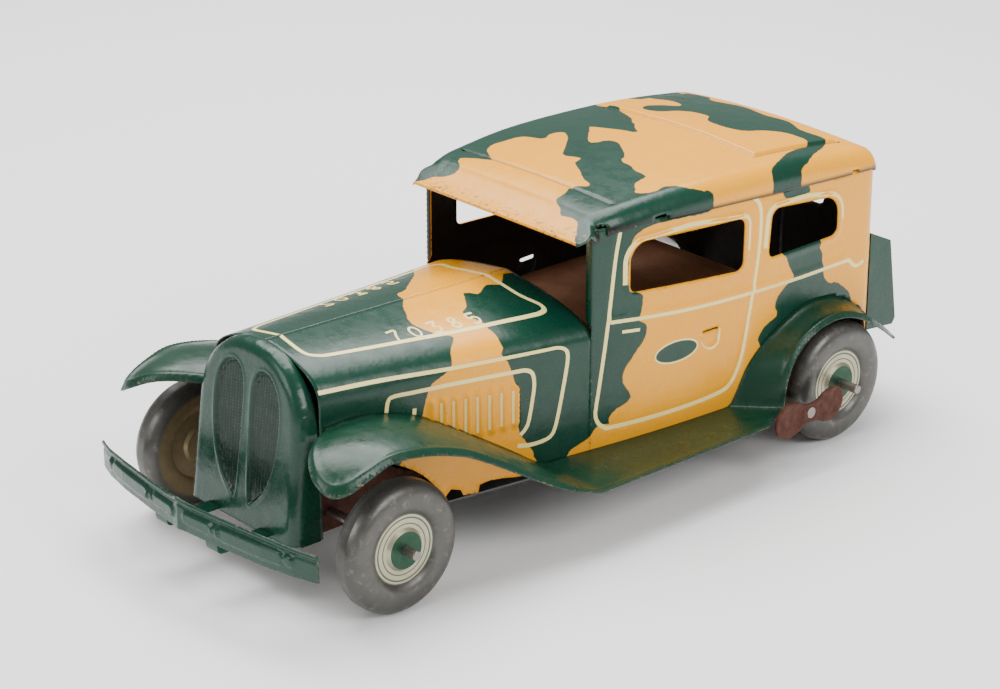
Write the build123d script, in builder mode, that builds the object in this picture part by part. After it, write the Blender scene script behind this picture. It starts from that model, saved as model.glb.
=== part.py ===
from build123d import *
import os
from math import atan2, cos, degrees, hypot, radians, sin, sqrt

# Clockwork tinplate saloon car.  Millimetres, +Z up, the bonnet points along -Y,
# +X is the car's left side.  The origin is on the ground, midway between the axles.

# ---- driving dimensions -------------------------------------------------------
TIN = 0.4                 # thickness of the printed tinplate
WHEEL_R = 18.0            # outer radius of a wheel
WHEELBASE = 162.6         # distance between the two axles
AXLE_R = 1.32             # 12 gauge steel wire
RUNNING_FIT = 0.05        # radial clearance of a shaft in its hole
WHEEL_X = 43.5            # middle plane of a wheel
WHEEL_BULGE = 4.6         # half the width of a tyre
FRONT_PIN = 52.0          # the front axle ends here
REAR_PIN = 54.4           # the rear axle ends here

BOARD_X = 55.6            # outer edge of the running boards
BOARD_Z = 18.2            # top of the running boards
WING_X = 49.0             # outer edge of the wings
SILL_Z = 15.0             # bottom edge of the body sides
SHOULDER_Z = 49.0         # where the bonnet sides start to curve over
NOSE_Y = -88.5            # front edge of the bonnet
NOSE_W = 22.4             # half width of the body at the nose
NOSE_TOP = 63.0           # bonnet ridge at the nose
COWL_Y = -5.0             # rear edge of the bonnet
COWL_W = 34.2             # half width at the cowl
COWL_TOP = 61.5           # bonnet ridge at the cowl
TAIL_Y = 105.5            # rear face of the body
SEAM_FRONT_Z = 81.6       # roof seam at the windscreen
SEAM_REAR_Z = 76.2        # roof seam at the tail
LAP = 0.05                # gap between the roof flange and the body side inside it
GRILLE_Y = -98.4          # foot of the radiator's front
GRILLE_Z = 14.5           # bottom of the radiator
BUMPER_Y = -118.2         # tip of the front bumper
TRUNK_Y = 118.2           # rear face of the luggage trunk
TRUNK_W = 35.5            # half width of the trunk
PAN_Z = SILL_Z            # top of the base plate, under the body's bottom edge
FLOOR_Z = 39.5            # top of the inner floor

FRONT_AXLE = (-WHEELBASE / 2, WHEEL_R)     # (y, z)
REAR_AXLE = (WHEELBASE / 2, WHEEL_R)       # (y, z)

# Clockwork motor
MODULE = 0.6
GREAT_TEETH = 36
SECOND_TEETH = 34
PINION_TEETH = 10
RATCHET_TEETH = 12
MESH_GAP = 0.06                            # extra centre distance of a gear pair
SPRING_AXIS = (60.5, 17.3)                 # (y, z) of the winding arbor
PLATE_X = 13.0                             # inner faces of the motor plates
PLATE_T = 0.8
ARBOR_R = 1.6
SECOND_ARBOR_R = 1.0
KEY_X = 54.3                               # inner face of the key
KEY_T = 0.9
KEY_R = 14.0                               # half length of the key

os.makedirs("parts", exist_ok=True)


def save(piece, name):
    """Label one finished piece and write it to its own file."""
    piece.part.label = name
    export_step(piece.part, f"parts/{name}.step")


def side_plane(x):
    """A plane across the X axis at x, with its own x along +Y and its own y along +Z."""
    return Plane(origin=(x, 0, 0), x_dir=(0, 1, 0), z_dir=(1, 0, 0))


def cross_plane(y):
    """A plane across the car at y, facing forward: own x along +X, own y along +Z."""
    return Plane(origin=(0, y, 0), x_dir=(1, 0, 0), z_dir=(0, -1, 0))


# ---- body shell ----------------------------------------------------------------
BELLY_W = 38.8            # widest half width of the body
BELLY_Y = 60.0            # where it is
TAIL_W = 38.0             # half width at the tail
CORNER_R = 5.5            # rounded corners at the tail
FRONT_WINDOW = [(7.6, 61.6), (7.6, 75.6), (48.6, 73.6), (48.4, 58.4)]
FRONT_WINDOW_RADII = [1.8, 5.5, 2.6, 2.6]
REAR_WINDOW = [(58.6, 59.4), (59.8, 73.9), (87.2, 71.2), (87.4, 59.8)]
REAR_WINDOW_RADII = [2.2, 3.0, 6.0, 4.0]
ARCH_R = 23.2             # rear wheel arch in the body side
FRONT_ARCH = (-78.0, 2.0, 30.0)            # (y, z, radius) of the front wheel arch
TAB_Y = (3, 32, 60, 88)   # where a roof tab stands on the body side
TAB = 5.0                 # length of a tab
TAB_RISE = 1.5            # how far a tab stands up inside the roof
LOUVRES = 8
LOUVRE_START = 33.0       # from the nose to the first louvre
LOUVRE_PITCH = 3.72
LOUVRE_W = 2.4
LOUVRE_RISE = 0.5
HANDLE = (37.0, 43.2)     # (y, z) of the slot over the door handle recess


def bonnet_section(y, half_width, crown, inset):
    """Arch of the bonnet at y: straight sides that curve over to the centre ridge."""
    w = half_width - inset
    top = crown - inset
    base = SILL_Z - 12 * inset
    with BuildSketch(cross_plane(y)) as section:
        with BuildLine():
            Line((-w, base), (w, base))
            Line((w, base), (w, SHOULDER_Z))
            Spline((w, SHOULDER_Z), (0.55 * w, top - 2.2), (0, top), tangents=[(0, 1), (-1, 0.12)])
            Spline((0, top), (-0.55 * w, top - 2.2), (-w, SHOULDER_Z), tangents=[(-1, -0.12), (0, -1)])
            Line((-w, SHOULDER_Z), (-w, base))
        make_face()
    return section.sketch


def bulge_radius(dx, dy):
    """Radius of an arc that starts along Y and moves dx sideways in dy."""
    return (dx * dx + dy * dy) / (2 * dx)


def cabin_plan(z, inset):
    """Plan of the cabin: sides that swell a little, and a tail with rounded corners."""
    with BuildSketch(Plane.XY.offset(z)) as plan:
        with BuildLine():
            front = RadiusArc((COWL_W, COWL_Y), (BELLY_W, BELLY_Y),
                              -bulge_radius(BELLY_W - COWL_W, BELLY_Y - COWL_Y))
            rear = RadiusArc(front @ 1, (TAIL_W, TAIL_Y - CORNER_R),
                             -bulge_radius(BELLY_W - TAIL_W, TAIL_Y - CORNER_R - BELLY_Y))
            corner = RadiusArc(rear @ 1, (TAIL_W - CORNER_R, TAIL_Y), -CORNER_R)
            Line(corner @ 1, (0, TAIL_Y))
            mirror(about=Plane.YZ)
            Line((COWL_W, COWL_Y), (-COWL_W, COWL_Y))
        make_face()
        if inset:
            offset(amount=-inset, mode=Mode.REPLACE)
    return plan.sketch


def cabin_block(z, height, inset):
    """The cabin plan as a solid prism."""
    return extrude(cabin_plan(z, inset), amount=height, mode=Mode.PRIVATE)


def seam_z(y):
    """Height of the roof seam at y."""
    return SEAM_FRONT_Z + (SEAM_REAR_Z - SEAM_FRONT_Z) * (y - COWL_Y) / (TAIL_Y - COWL_Y)


def seam_line():
    """Top edge of the body side: the seam, with tabs that stand up inside the roof."""
    points = [(-20, seam_z(-20))]
    for y in TAB_Y:
        for edge, rise in ((y, 0), (y, TAB_RISE), (y + TAB, TAB_RISE), (y + TAB, 0)):
            points.append((edge, seam_z(edge) + rise))
    return points + [(120, seam_z(120))]


with BuildPart() as body_shell:
    loft([bonnet_section(NOSE_Y, NOSE_W, NOSE_TOP, 0), bonnet_section(COWL_Y, COWL_W, COWL_TOP, 0)])
    add(cabin_block(SILL_Z, 72, 0))
    loft([bonnet_section(NOSE_Y - 1, NOSE_W, NOSE_TOP, TIN),
          bonnet_section(COWL_Y + 0.01, COWL_W, COWL_TOP, TIN)], mode=Mode.SUBTRACT)
    add(cabin_block(SILL_Z - 1, 80, TIN), mode=Mode.SUBTRACT)
    # windscreen opening, from the bonnet's rear edge to the roof
    with BuildSketch(cross_plane(COWL_Y + 1)):
        with BuildLine():
            Polyline((2.2 - COWL_W, 53), (COWL_W - 2.2, 53), (COWL_W - 1, 90), (1 - COWL_W, 90), close=True)
        make_face()
    extrude(amount=1.5, mode=Mode.SUBTRACT)
    # roof seam with its tabs
    with BuildSketch(side_plane(0)):
        with BuildLine():
            Polyline(*seam_line(), (120, 100), (-20, 100), close=True)
        make_face()
    extrude(amount=60, both=True, mode=Mode.SUBTRACT)
    # side windows, wheel arches, and the slots of the door handles
    with BuildSketch(side_plane(0)):
        for points, radii in ((FRONT_WINDOW, FRONT_WINDOW_RADII), (REAR_WINDOW, REAR_WINDOW_RADII)):
            with BuildLine():
                FilletPolyline(*points, radius=radii, close=True)
            make_face()
        with Locations(REAR_AXLE):
            Circle(ARCH_R)
        with Locations(FRONT_ARCH[:2]):
            Circle(FRONT_ARCH[2])
        with Locations(HANDLE):
            Rectangle(5.4, 0.7)
    extrude(amount=60, both=True, mode=Mode.SUBTRACT)
    # rear window
    with BuildSketch(cross_plane(TAIL_Y + 5)):
        with Locations((0, 64)):
            RectangleRounded(34, 11, 2.5)
    extrude(amount=10, mode=Mode.SUBTRACT)

# The shell is two pressed halves, joined along the bonnet ridge and the middle of the tail.
taper = atan2(COWL_W - NOSE_W, COWL_Y - NOSE_Y)
bonnet_side = Plane(origin=(NOSE_W, NOSE_Y, 0), x_dir=(sin(taper), cos(taper), 0),
                    z_dir=(cos(taper), -sin(taper), 0))

with BuildPart() as body_left:
    add(body_shell.part)
    split(bisect_by=Plane.YZ, keep=Keep.TOP)
    with BuildSketch(bonnet_side.offset(-TIN / 2)):
        for i in range(LOUVRES):
            top = 44.8 - 0.35 * i
            foot = max(40.3 - 2.3 * i, 32.2)
            with Locations((LOUVRE_START + LOUVRE_PITCH * i, (top + foot) / 2)):
                SlotOverall(top - foot, LOUVRE_W, rotation=90)
    extrude(amount=TIN / 2 + LOUVRE_RISE)
save(body_left, "body_left")

with BuildPart() as body_right:
    add(mirror(body_left.part, about=Plane.YZ))
save(body_right, "body_right")


# ---- roof ------------------------------------------------------------------------
EDGE_R = 5.5              # rounding of the roof's long edges
# (y, half width, height at the rounded edge, height at the centre line)
ROOF_STATIONS = [(-3.0, 35.5, 84.6, 84.9), (6, 36.6, 86.0, 87.0), (30, 38.8, 87.2, 88.9),
                 (66, 39.9, 86.2, 88.2), (94, 39.8, 83.4, 85.2), (103, 39.5, 81.6, 82.8),
                 (106.2, 39.2, 79.0, 79.6)]
VISOR_PATH = [(-2.4, 84.75), (-5.6, 82.7), (-9.0, 81.0), (-12.8, 80.1)]
VISOR_W = 31.5            # half width near the visor's lip
SUNROOF = (61.0, 94.5, 29.5)               # front y, rear y, half width


def roof_section(y, half_width, edge_z, crown, inset, base):
    """Arch of the roof at y: a flange on each side, a rounded edge and a low crown."""
    w = half_width - inset
    top = crown - inset
    edge = edge_z - inset
    with BuildSketch(cross_plane(y)) as section:
        with BuildLine():
            Line((-w, base), (w, base))
            Line((w, base), (w, edge - EDGE_R))
            Spline((w, edge - EDGE_R), (w - EDGE_R, edge), (0, top), tangents=[(0, 1), (-1, 0)])
            Spline((0, top), (EDGE_R - w, edge), (-w, edge - EDGE_R), tangents=[(-1, 0), (0, -1)])
            Line((-w, edge - EDGE_R), (-w, base))
        make_face()
    return section.sketch


def roof_block(inset, base):
    """The whole roof as a solid, lofted through its cross sections."""
    return loft([roof_section(y, w, e, c, inset, base) for y, w, e, c in ROOF_STATIONS], mode=Mode.PRIVATE)


with BuildPart() as sunroof:
    add(roof_block(-0.35, 72))
    with BuildSketch(Plane.XY.offset(70)):
        with Locations((0, (SUNROOF[0] + SUNROOF[1]) / 2)):
            RectangleRounded(2 * SUNROOF[2], SUNROOF[1] - SUNROOF[0], 1.5)
    extrude(amount=30, mode=Mode.INTERSECT)

with BuildPart() as roof_inside:
    add(roof_block(TIN, 68))
    add(cabin_block(60, 40, -LAP), mode=Mode.INTERSECT)

with BuildPart() as roof:
    add(roof_block(0, 70))
    add(cabin_block(60, 40, -LAP - TIN), mode=Mode.INTERSECT)
    add(sunroof.part)
    add(roof_inside.part, mode=Mode.SUBTRACT)
    with BuildSketch(side_plane(0)):
        with BuildLine():
            Polyline((-20, 60), (-20, seam_z(-20)), (120, seam_z(120)), (120, 60), close=True)
        make_face()
    extrude(amount=60, both=True, mode=Mode.SUBTRACT)
    # slots that the tabs are bent through
    with BuildSketch(side_plane(0)):
        for y in TAB_Y:
            with Locations((y + TAB / 2, seam_z(y) + 1.2)):
                Rectangle(TAB, 0.8)
    extrude(amount=60, both=True, mode=Mode.SUBTRACT)
    # the front is open under the visor
    with BuildSketch(cross_plane(COWL_Y + 3)):
        with BuildLine():
            Polyline((-32.5, 70), (32.5, 70), (30.5, 84.2), (-30.5, 84.2), close=True)
        make_face()
    extrude(amount=6, mode=Mode.SUBTRACT)

with BuildPart() as visor:
    with BuildSketch(side_plane(-VISOR_W - 4)):
        with BuildLine():
            Spline(*VISOR_PATH, tangents=[(-1, -0.35), (-1, 0.02)])
        trace(line_width=TIN)
    extrude(amount=2 * (VISOR_W + 4))
    with BuildSketch(Plane.XY.offset(70)):
        with BuildLine():
            Polyline((-VISOR_W, -16), (VISOR_W, -16), (33.4, 2), (-33.4, 2), close=True)
        make_face()
    extrude(amount=30, mode=Mode.INTERSECT)
with BuildPart() as roof_whole:
    add(roof.part)
    add(visor.part)
save(roof_whole, "roof")


# ---- radiator and bumper ----------------------------------------------------------
GRILLE_TOP = 64.2         # crown of the radiator, before it leans back
GRILLE_RAKE = 6.5         # degrees that it leans back
GRILLE_ROUND = 3.0        # its rounded front edge
GRILLE_BACK_Y = NOSE_Y + 8                 # back of the upright radiator, before it is trimmed
GRILLE_FOOT = GRILLE_Z - 3
GRILLE_W = 22.8           # half width at its foot


def radiator_outline(y, inset, foot):
    """Front view of the radiator: nearly straight sides under an arched top."""
    w = GRILLE_W - inset
    top = GRILLE_TOP - inset
    with BuildSketch(cross_plane(y)) as outline:
        with BuildLine():
            Line((-w, foot), (w, foot))
            Line((w, foot), (w - 0.9, 46))
            Spline((w - 0.9, 46), (0.62 * w, top - 4.6), (0, top), tangents=[(0, 1), (-1, 0)])
            Spline((0, top), (-0.62 * w, top - 4.6), (0.9 - w, 46), tangents=[(-1, 0), (0, -1)])
            Line((0.9 - w, 46), (-w, foot))
        make_face()
    return outline.sketch


def grille_windows(y, grow):
    """The two tall windows of the radiator: arched on top and pointed at the foot."""
    g = grow
    with BuildSketch(cross_plane(y)) as windows:
        with BuildLine():
            Spline((1.7 - g, 50), (6.4, 57.7 + g), (13.6 + g, 47), tangents=[(0, 1), (0, -1)])
            Spline((13.6 + g, 47), (11.6 + g, 32), (3.5, 21 - 2 * g), tangents=[(0, -1), (-1, -0.6)])
            Spline((3.5, 21 - 2 * g), (2.1 - g, 34), (1.7 - g, 50), tangents=[(-0.3, 1), (0, 1)])
        make_face()
        mirror(about=Plane.YZ)
    return windows.sketch


RIB_PITCH = 1.25
RIBS = 9
GRILLE_DEPTH = 1.0        # how far the ribbed panel is set back

FORWARD = (0, -1, 0)

with BuildPart() as grille_ribs:
    extrude(grille_windows(GRILLE_Y + GRILLE_DEPTH, 0), amount=0.45, dir=FORWARD)
    with BuildSketch(Plane.XY.offset(10)):
        for side in (-1, 1):
            with Locations((side * 7.7, GRILLE_Y)):
                with GridLocations(RIB_PITCH, 1, RIBS, 1):
                    Rectangle(0.55, 6)
    extrude(amount=60, mode=Mode.INTERSECT)

with BuildPart() as middle_rib:
    with BuildSketch(cross_plane(GRILLE_Y + 0.2)):
        with Locations((0, 40)):
            SlotOverall(38, 1.8, rotation=90)
    extrude(amount=0.6)

with BuildPart() as upright:
    extrude(radiator_outline(GRILLE_BACK_Y, 0, GRILLE_FOOT), amount=GRILLE_BACK_Y - GRILLE_Y, dir=FORWARD)
    front_edges = upright.faces().sort_by(Axis.Y)[0].edges()
    fillet(front_edges.filter_by(lambda e: e.center().Z > GRILLE_FOOT + 0.1), radius=GRILLE_ROUND)
    extrude(radiator_outline(GRILLE_BACK_Y + 1, TIN, GRILLE_FOOT - 2),
            amount=GRILLE_BACK_Y + 1 - GRILLE_Y - GRILLE_ROUND, dir=FORWARD, mode=Mode.SUBTRACT)
    extrude(radiator_outline(GRILLE_Y + GRILLE_ROUND + 0.01, 2.4, GRILLE_FOOT - 2),
            amount=GRILLE_ROUND + 0.01 - TIN, dir=FORWARD, mode=Mode.SUBTRACT)
    # two windows with a ribbed panel set back behind them
    extrude(grille_windows(GRILLE_Y + 1, 0), amount=2, dir=FORWARD, mode=Mode.SUBTRACT)
    extrude(grille_windows(GRILLE_Y + GRILLE_DEPTH + TIN, 0.5), amount=TIN + GRILLE_DEPTH, dir=FORWARD)
    extrude(grille_windows(GRILLE_Y + GRILLE_DEPTH, 0), amount=2, dir=FORWARD, mode=Mode.SUBTRACT)
    add(grille_ribs.part)
    add(middle_rib.part)

with BuildPart() as radiator:
    add(upright.part.rotate(Axis((0, GRILLE_Y, GRILLE_Z), (1, 0, 0)), -GRILLE_RAKE))
    with BuildSketch(cross_plane(NOSE_Y)):
        with Locations((0, GRILLE_Z)):
            Rectangle(60, 60, align=(Align.CENTER, Align.MIN))
    extrude(amount=20, mode=Mode.INTERSECT)
save(radiator, "radiator")

BUMPER_W = 46.7           # half width of the bumper
BUMPER_END_Y = -109.0
BUMPER_T = 0.6
BUMPER_ARM_X = 11.0
ARM_Y = -115.9            # the bumper's back, where an arm turns down
ARM_Z = 15.4
ARM_W = 5.0

with BuildPart() as front_bumper:
    with BuildSketch(Plane.XY.offset(15)):
        with BuildLine():
            Polyline((-BUMPER_W, BUMPER_END_Y), (-30, -113.2), (-3, BUMPER_Y + 0.5), (0, BUMPER_Y),
                     (3, BUMPER_Y + 0.5), (30, -113.2), (BUMPER_W, BUMPER_END_Y),
                     (BUMPER_W, BUMPER_END_Y + BUMPER_T), (30, -113.2 + BUMPER_T), (0, BUMPER_Y + 0.5 + BUMPER_T),
                     (-30, -113.2 + BUMPER_T), (-BUMPER_W, BUMPER_END_Y + BUMPER_T), close=True)
        make_face()
    extrude(amount=15)
    with BuildSketch(cross_plane(-90)):
        with BuildLine():
            Polyline((-BUMPER_W, 17.6), (-30, 17.9), (0, 18.9), (30, 17.9), (BUMPER_W, 17.6),
                     (BUMPER_W, 25.0), (30, 26.4), (0, 27.7), (-30, 26.4), (-BUMPER_W, 25.0), close=True)
        make_face()
    extrude(amount=40, mode=Mode.INTERSECT)
    # two arms bent down behind the bumper and back to the radiator's foot
    with BuildSketch(Plane.XY.offset(ARM_Z)):
        for side in (-1, 1):
            with Locations((side * BUMPER_ARM_X, (GRILLE_Y + 0.1 + ARM_Y) / 2)):
                Rectangle(ARM_W, GRILLE_Y + 0.1 - ARM_Y)
    extrude(amount=BUMPER_T)
    with BuildSketch(Plane.XY.offset(ARM_Z)):
        for side in (-1, 1):
            with Locations((side * BUMPER_ARM_X, ARM_Y + BUMPER_T / 2)):
                Rectangle(ARM_W, BUMPER_T)
    extrude(amount=6)
save(front_bumper, "front_bumper")


# ---- wings and running boards -------------------------------------------------------
# Height of the front wing along the car, at three distances from the centre.
FRONT_WING = {
    20.0: [(-100, 36.5), (-95, 40.5), (-86, 43.2), (-75, 44.0), (-62, 41.0), (-50, 34.6),
           (-35, 25.6), (-22.5, 18.9), (-16, 18.15)],
    37.0: [(-104.4, 42.6), (-98, 46.2), (-87, 47.6), (-75, 46.4), (-62, 42.6), (-50, 36.3),
           (-35, 26.8), (-22.5, 19.1), (-16, 18.15)],
    57.0: [(-98, 31.0), (-93, 36.0), (-86, 40.6), (-75, 39.8), (-62, 35.5), (-50, 30.0),
           (-35, 22.6), (-22.5, 18.5), (-16, 18.15)],
}
REAR_WING = {
    37.0: [(43.0, 17.9), (46.5, 22.5), (50, 28.0), (55.6, 32.8), (63.7, 37.7), (72.2, 41.2),
           (80, 41.8), (88, 39.8), (97, 34.2), (106, 26.0)],
    50.0: [(56.5, 17.9), (57.2, 23.5), (59.2, 29.6), (63.1, 34.8), (68.7, 38.4), (75.5, 39.9),
           (82.6, 39.2), (89.5, 36.2), (97, 31.2), (108.4, 23.0)],
}


def ribbon(x, points):
    """A strip of tinplate, seen from the side, whose top follows the points."""
    under = []
    for i, (y, z) in enumerate(points):
        before = points[max(i - 1, 0)]
        after = points[min(i + 1, len(points) - 1)]
        run = hypot(after[0] - before[0], after[1] - before[1])
        under.append((y + TIN * (after[1] - before[1]) / run, z - TIN * (after[0] - before[0]) / run))
    with BuildSketch(side_plane(x)) as strip:
        with BuildLine():
            Spline(*points)
            Line(points[-1], under[-1])
            Spline(*reversed(under))
            Line(under[0], points[0])
        make_face()
    return strip.sketch


WING_GAP = 0.08           # between the wings and the body side

with BuildPart() as rear_wing:
    loft([ribbon(x, points) for x, points in REAR_WING.items()], ruled=True)
    with BuildSketch(Plane.XY.offset(10)):
        with BuildLine():
            Polyline((34, 40), (56, 44), (49.2, 56), (WING_X, 62), (WING_X, 86), (47.2, 100), (44.6, 108.4),
                     (38.3, 100), (34, 98), close=True)
        make_face()
    extrude(amount=50, mode=Mode.INTERSECT)

with BuildPart() as wing_left:
    loft([ribbon(x, points) for x, points in FRONT_WING.items()])
    with BuildSketch(Plane.XY.offset(10)):
        with BuildLine():
            Spline((20, -86), (30, -97.0), (41, -104.2), (47.6, -101.5), (WING_X, -93), (WING_X, -80))
            Polyline((WING_X, -80), (WING_X, -60), (54.2, -24.2), (54.2, -16), (20, -16), (20, -86))
        make_face()
    extrude(amount=50, mode=Mode.INTERSECT)
    with BuildSketch(Plane.XY.offset(BOARD_Z - TIN)):
        with BuildLine():
            Polyline((30, -19), (54.2, -22.8), (BOARD_X, -21), (BOARD_X, 44.6), (53.6, 45.9),
                     (50.4, 54.5), (49.2, 56.3), (37, 43.6), (30, 43.6), close=True)
        make_face()
    extrude(amount=TIN)
    add(rear_wing.part)
    # the wing's inner edge follows the body side
    add(cabin_block(0, 90, -WING_GAP), mode=Mode.SUBTRACT)
    loft([bonnet_section(NOSE_Y - 20, NOSE_W - 20 * sin(taper), NOSE_TOP, -WING_GAP),
          bonnet_section(COWL_Y + 0.5, COWL_W, COWL_TOP, -WING_GAP)], mode=Mode.SUBTRACT)
save(wing_left, "wing_left")

with BuildPart() as wing_right:
    add(mirror(wing_left.part, about=Plane.YZ))
save(wing_right, "wing_right")


# ---- luggage trunk ------------------------------------------------------------------
with BuildPart() as rear_trunk:
    with BuildSketch(side_plane(0)):
        with BuildLine():
            Polyline((TAIL_Y, 54.6), (114.4, 50.4), (TRUNK_Y, 25.0), (117.0, 23.2), (TAIL_Y, 24.2), close=True)
        make_face()
    extrude(amount=TRUNK_W, both=True)
    fillet(rear_trunk.edges().filter_by(Axis.X).group_by(Axis.Y)[-1], radius=1.2)
    with BuildSketch(side_plane(0)):
        with BuildLine():
            Polyline((TAIL_Y - 1, 54.4), (114.1, 50.0), (TRUNK_Y - 0.5, 25.2), (116.8, 23.7), (TAIL_Y - 1, 24.6),
                     close=True)
        make_face()
    extrude(amount=TRUNK_W - TIN, both=True, mode=Mode.SUBTRACT)
save(rear_trunk, "rear_trunk")


# ---- base plate, inner floor and front axle bracket --------------------------------
MOTOR_Y = (43.0, 90.0)    # length of the motor plates
PAN_FRONT_Y = -60.0
PAN_FRONT_W = 26.4
BRACKET_X = 16.0          # inner faces of the bracket's ears
BRACKET_T = 0.6
BRACKET_TOP = 25.0
BRACKET_Y = (-88.0, -50.0)
SIDE_GAP = 0.3            # between the floor and the body sides

with BuildPart() as base_plate:
    with BuildSketch(Plane.XY.offset(PAN_Z - BRACKET_T)):
        with BuildLine():
            Polyline((-PAN_FRONT_W, PAN_FRONT_Y), (PAN_FRONT_W, PAN_FRONT_Y), (COWL_W, COWL_Y), (37, 18),
                     (38.5, 42), (38.5, 56), (33.5, 59), (33.5, 101), (-33.5, 101), (-33.5, 59), (-38.5, 56),
                     (-38.5, 42), (-37, 18), (-COWL_W, COWL_Y), close=True)
        make_face()
        # opening that the motor hangs through
        with Locations((0, sum(MOTOR_Y) / 2)):
            Rectangle(2 * (PLATE_X + PLATE_T), MOTOR_Y[1] - MOTOR_Y[0], mode=Mode.SUBTRACT)
    extrude(amount=BRACKET_T)
    # upturned edge across the back
    with BuildSketch(Plane.XY.offset(PAN_Z - BRACKET_T)):
        with Locations((0, 100.7)):
            Rectangle(66, BRACKET_T)
    extrude(amount=6)
save(base_plate, "base_plate")

FLOOR_Y = (24.0, 91.5)    # front and rear walls of the inner floor
FLOOR_W = 36.0            # its half width

with BuildPart() as inner_floor:
    with BuildSketch(side_plane(-FLOOR_W)):
        with BuildLine():
            Polyline((FLOOR_Y[0], PAN_Z), (FLOOR_Y[0], FLOOR_Z - 1.5), (FLOOR_Y[0] + 1.5, FLOOR_Z), (79, FLOOR_Z),
                     (86, FLOOR_Z - 1.2), (FLOOR_Y[1], 33), (FLOOR_Y[1], PAN_Z),
                     (FLOOR_Y[1] - BRACKET_T, PAN_Z), (FLOOR_Y[1] - BRACKET_T, 32.8), (85.7, FLOOR_Z - 1.8),
                     (78.9, FLOOR_Z - BRACKET_T), (FLOOR_Y[0] + 1.8, FLOOR_Z - BRACKET_T),
                     (FLOOR_Y[0] + BRACKET_T, FLOOR_Z - 1.8), (FLOOR_Y[0] + BRACKET_T, PAN_Z), close=True)
        make_face()
    extrude(amount=2 * FLOOR_W)
save(inner_floor, "inner_floor")

with BuildPart() as front_axle_bracket:
    with BuildSketch(side_plane(-BRACKET_X - BRACKET_T)):
        with BuildLine():
            Polyline((BRACKET_Y[0], 12.5), (-74, 12.5), (PAN_FRONT_Y, PAN_Z), (BRACKET_Y[1], PAN_Z),
                     (BRACKET_Y[1], 19), (-62, BRACKET_TOP), (BRACKET_Y[0], BRACKET_TOP), close=True)
        make_face()
    extrude(amount=2 * (BRACKET_X + BRACKET_T))
    with BuildSketch(cross_plane(BRACKET_Y[1] + 1)):
        with Locations((0, 10)):
            Rectangle(2 * BRACKET_X, 2 * (BRACKET_TOP - BRACKET_T) - 20)
    extrude(amount=60, mode=Mode.SUBTRACT)
    with BuildSketch(side_plane(0)):
        with Locations(FRONT_AXLE):
            Circle(AXLE_R + RUNNING_FIT)
    extrude(amount=40, both=True, mode=Mode.SUBTRACT)
save(front_axle_bracket, "front_axle_bracket")


# ---- axles and wheels ---------------------------------------------------------------
def pin(axis, x0, x1, radius, name):
    """A round wire along X with its two ends rounded over."""
    with BuildPart() as wire:
        with BuildSketch(side_plane(x0)):
            with Locations(axis):
                Circle(radius)
        extrude(amount=x1 - x0)
        fillet(wire.edges().filter_by(GeomType.CIRCLE), radius=0.35)
    save(wire, name)
    return wire


front_axle = pin(FRONT_AXLE, -FRONT_PIN, FRONT_PIN, AXLE_R, "front_axle")
rear_axle = pin(REAR_AXLE, -REAR_PIN, REAR_PIN, AXLE_R, "rear_axle")

HUB_R = 5.1               # painted hub
RING_R = 9.75             # outer radius of the printed ring
HUB_DEPTH = 4.1           # hub face from the wheel's middle plane


def wheel_half(axis, x, outward, name):
    """One pressed half of a hollow wheel; the halves meet at the middle plane x."""
    with BuildPart() as shell:
        with BuildSketch(Plane(origin=(x, axis[0], axis[1]), x_dir=(outward, 0, 0), z_dir=(0, -outward, 0))):
            with BuildLine():
                Polyline((0, WHEEL_R), (0, WHEEL_R - TIN), (0.9, WHEEL_R - TIN))
                Spline((0.9, WHEEL_R - TIN), (WHEEL_BULGE - TIN, 13.2), (HUB_DEPTH - 0.9 - TIN, RING_R + 0.4),
                       tangents=[(1, -0.25), (-1, -0.8)])
                Polyline((HUB_DEPTH - 0.9 - TIN, RING_R + 0.4), (HUB_DEPTH - 0.9 - TIN, HUB_R + 0.6),
                         (HUB_DEPTH - TIN, HUB_R - 0.4), (HUB_DEPTH - TIN, AXLE_R), (HUB_DEPTH, AXLE_R),
                         (HUB_DEPTH, HUB_R), (HUB_DEPTH - 0.9, HUB_R + 0.8), (HUB_DEPTH - 0.9, RING_R))
                Spline((HUB_DEPTH - 0.9, RING_R), (WHEEL_BULGE, 13.2), (1.3, WHEEL_R),
                       tangents=[(1, 0.8), (-1, 0.25)])
                Line((1.3, WHEEL_R), (0, WHEEL_R))
            make_face()
        revolve(axis=Axis((x, axis[0], axis[1]), (1, 0, 0)))
    save(shell, name)
    return shell


for end, axis in (("front", FRONT_AXLE), ("rear", REAR_AXLE)):
    for side, sign in (("left", 1), ("right", -1)):
        wheel_half(axis, sign * WHEEL_X, sign, f"wheel_{end}_{side}_outer")
        wheel_half(axis, sign * WHEEL_X, -sign, f"wheel_{end}_{side}_inner")


# ---- clockwork motor ------------------------------------------------------------------
def pitch_r(teeth):
    """Pitch radius of a gear."""
    return MODULE * teeth / 2


def rotated(centre, angle, distance):
    """The point at a distance and an angle from a centre, in the (y, z) plane."""
    return (centre[0] + distance * cos(radians(angle)), centre[1] + distance * sin(radians(angle)))


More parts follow.
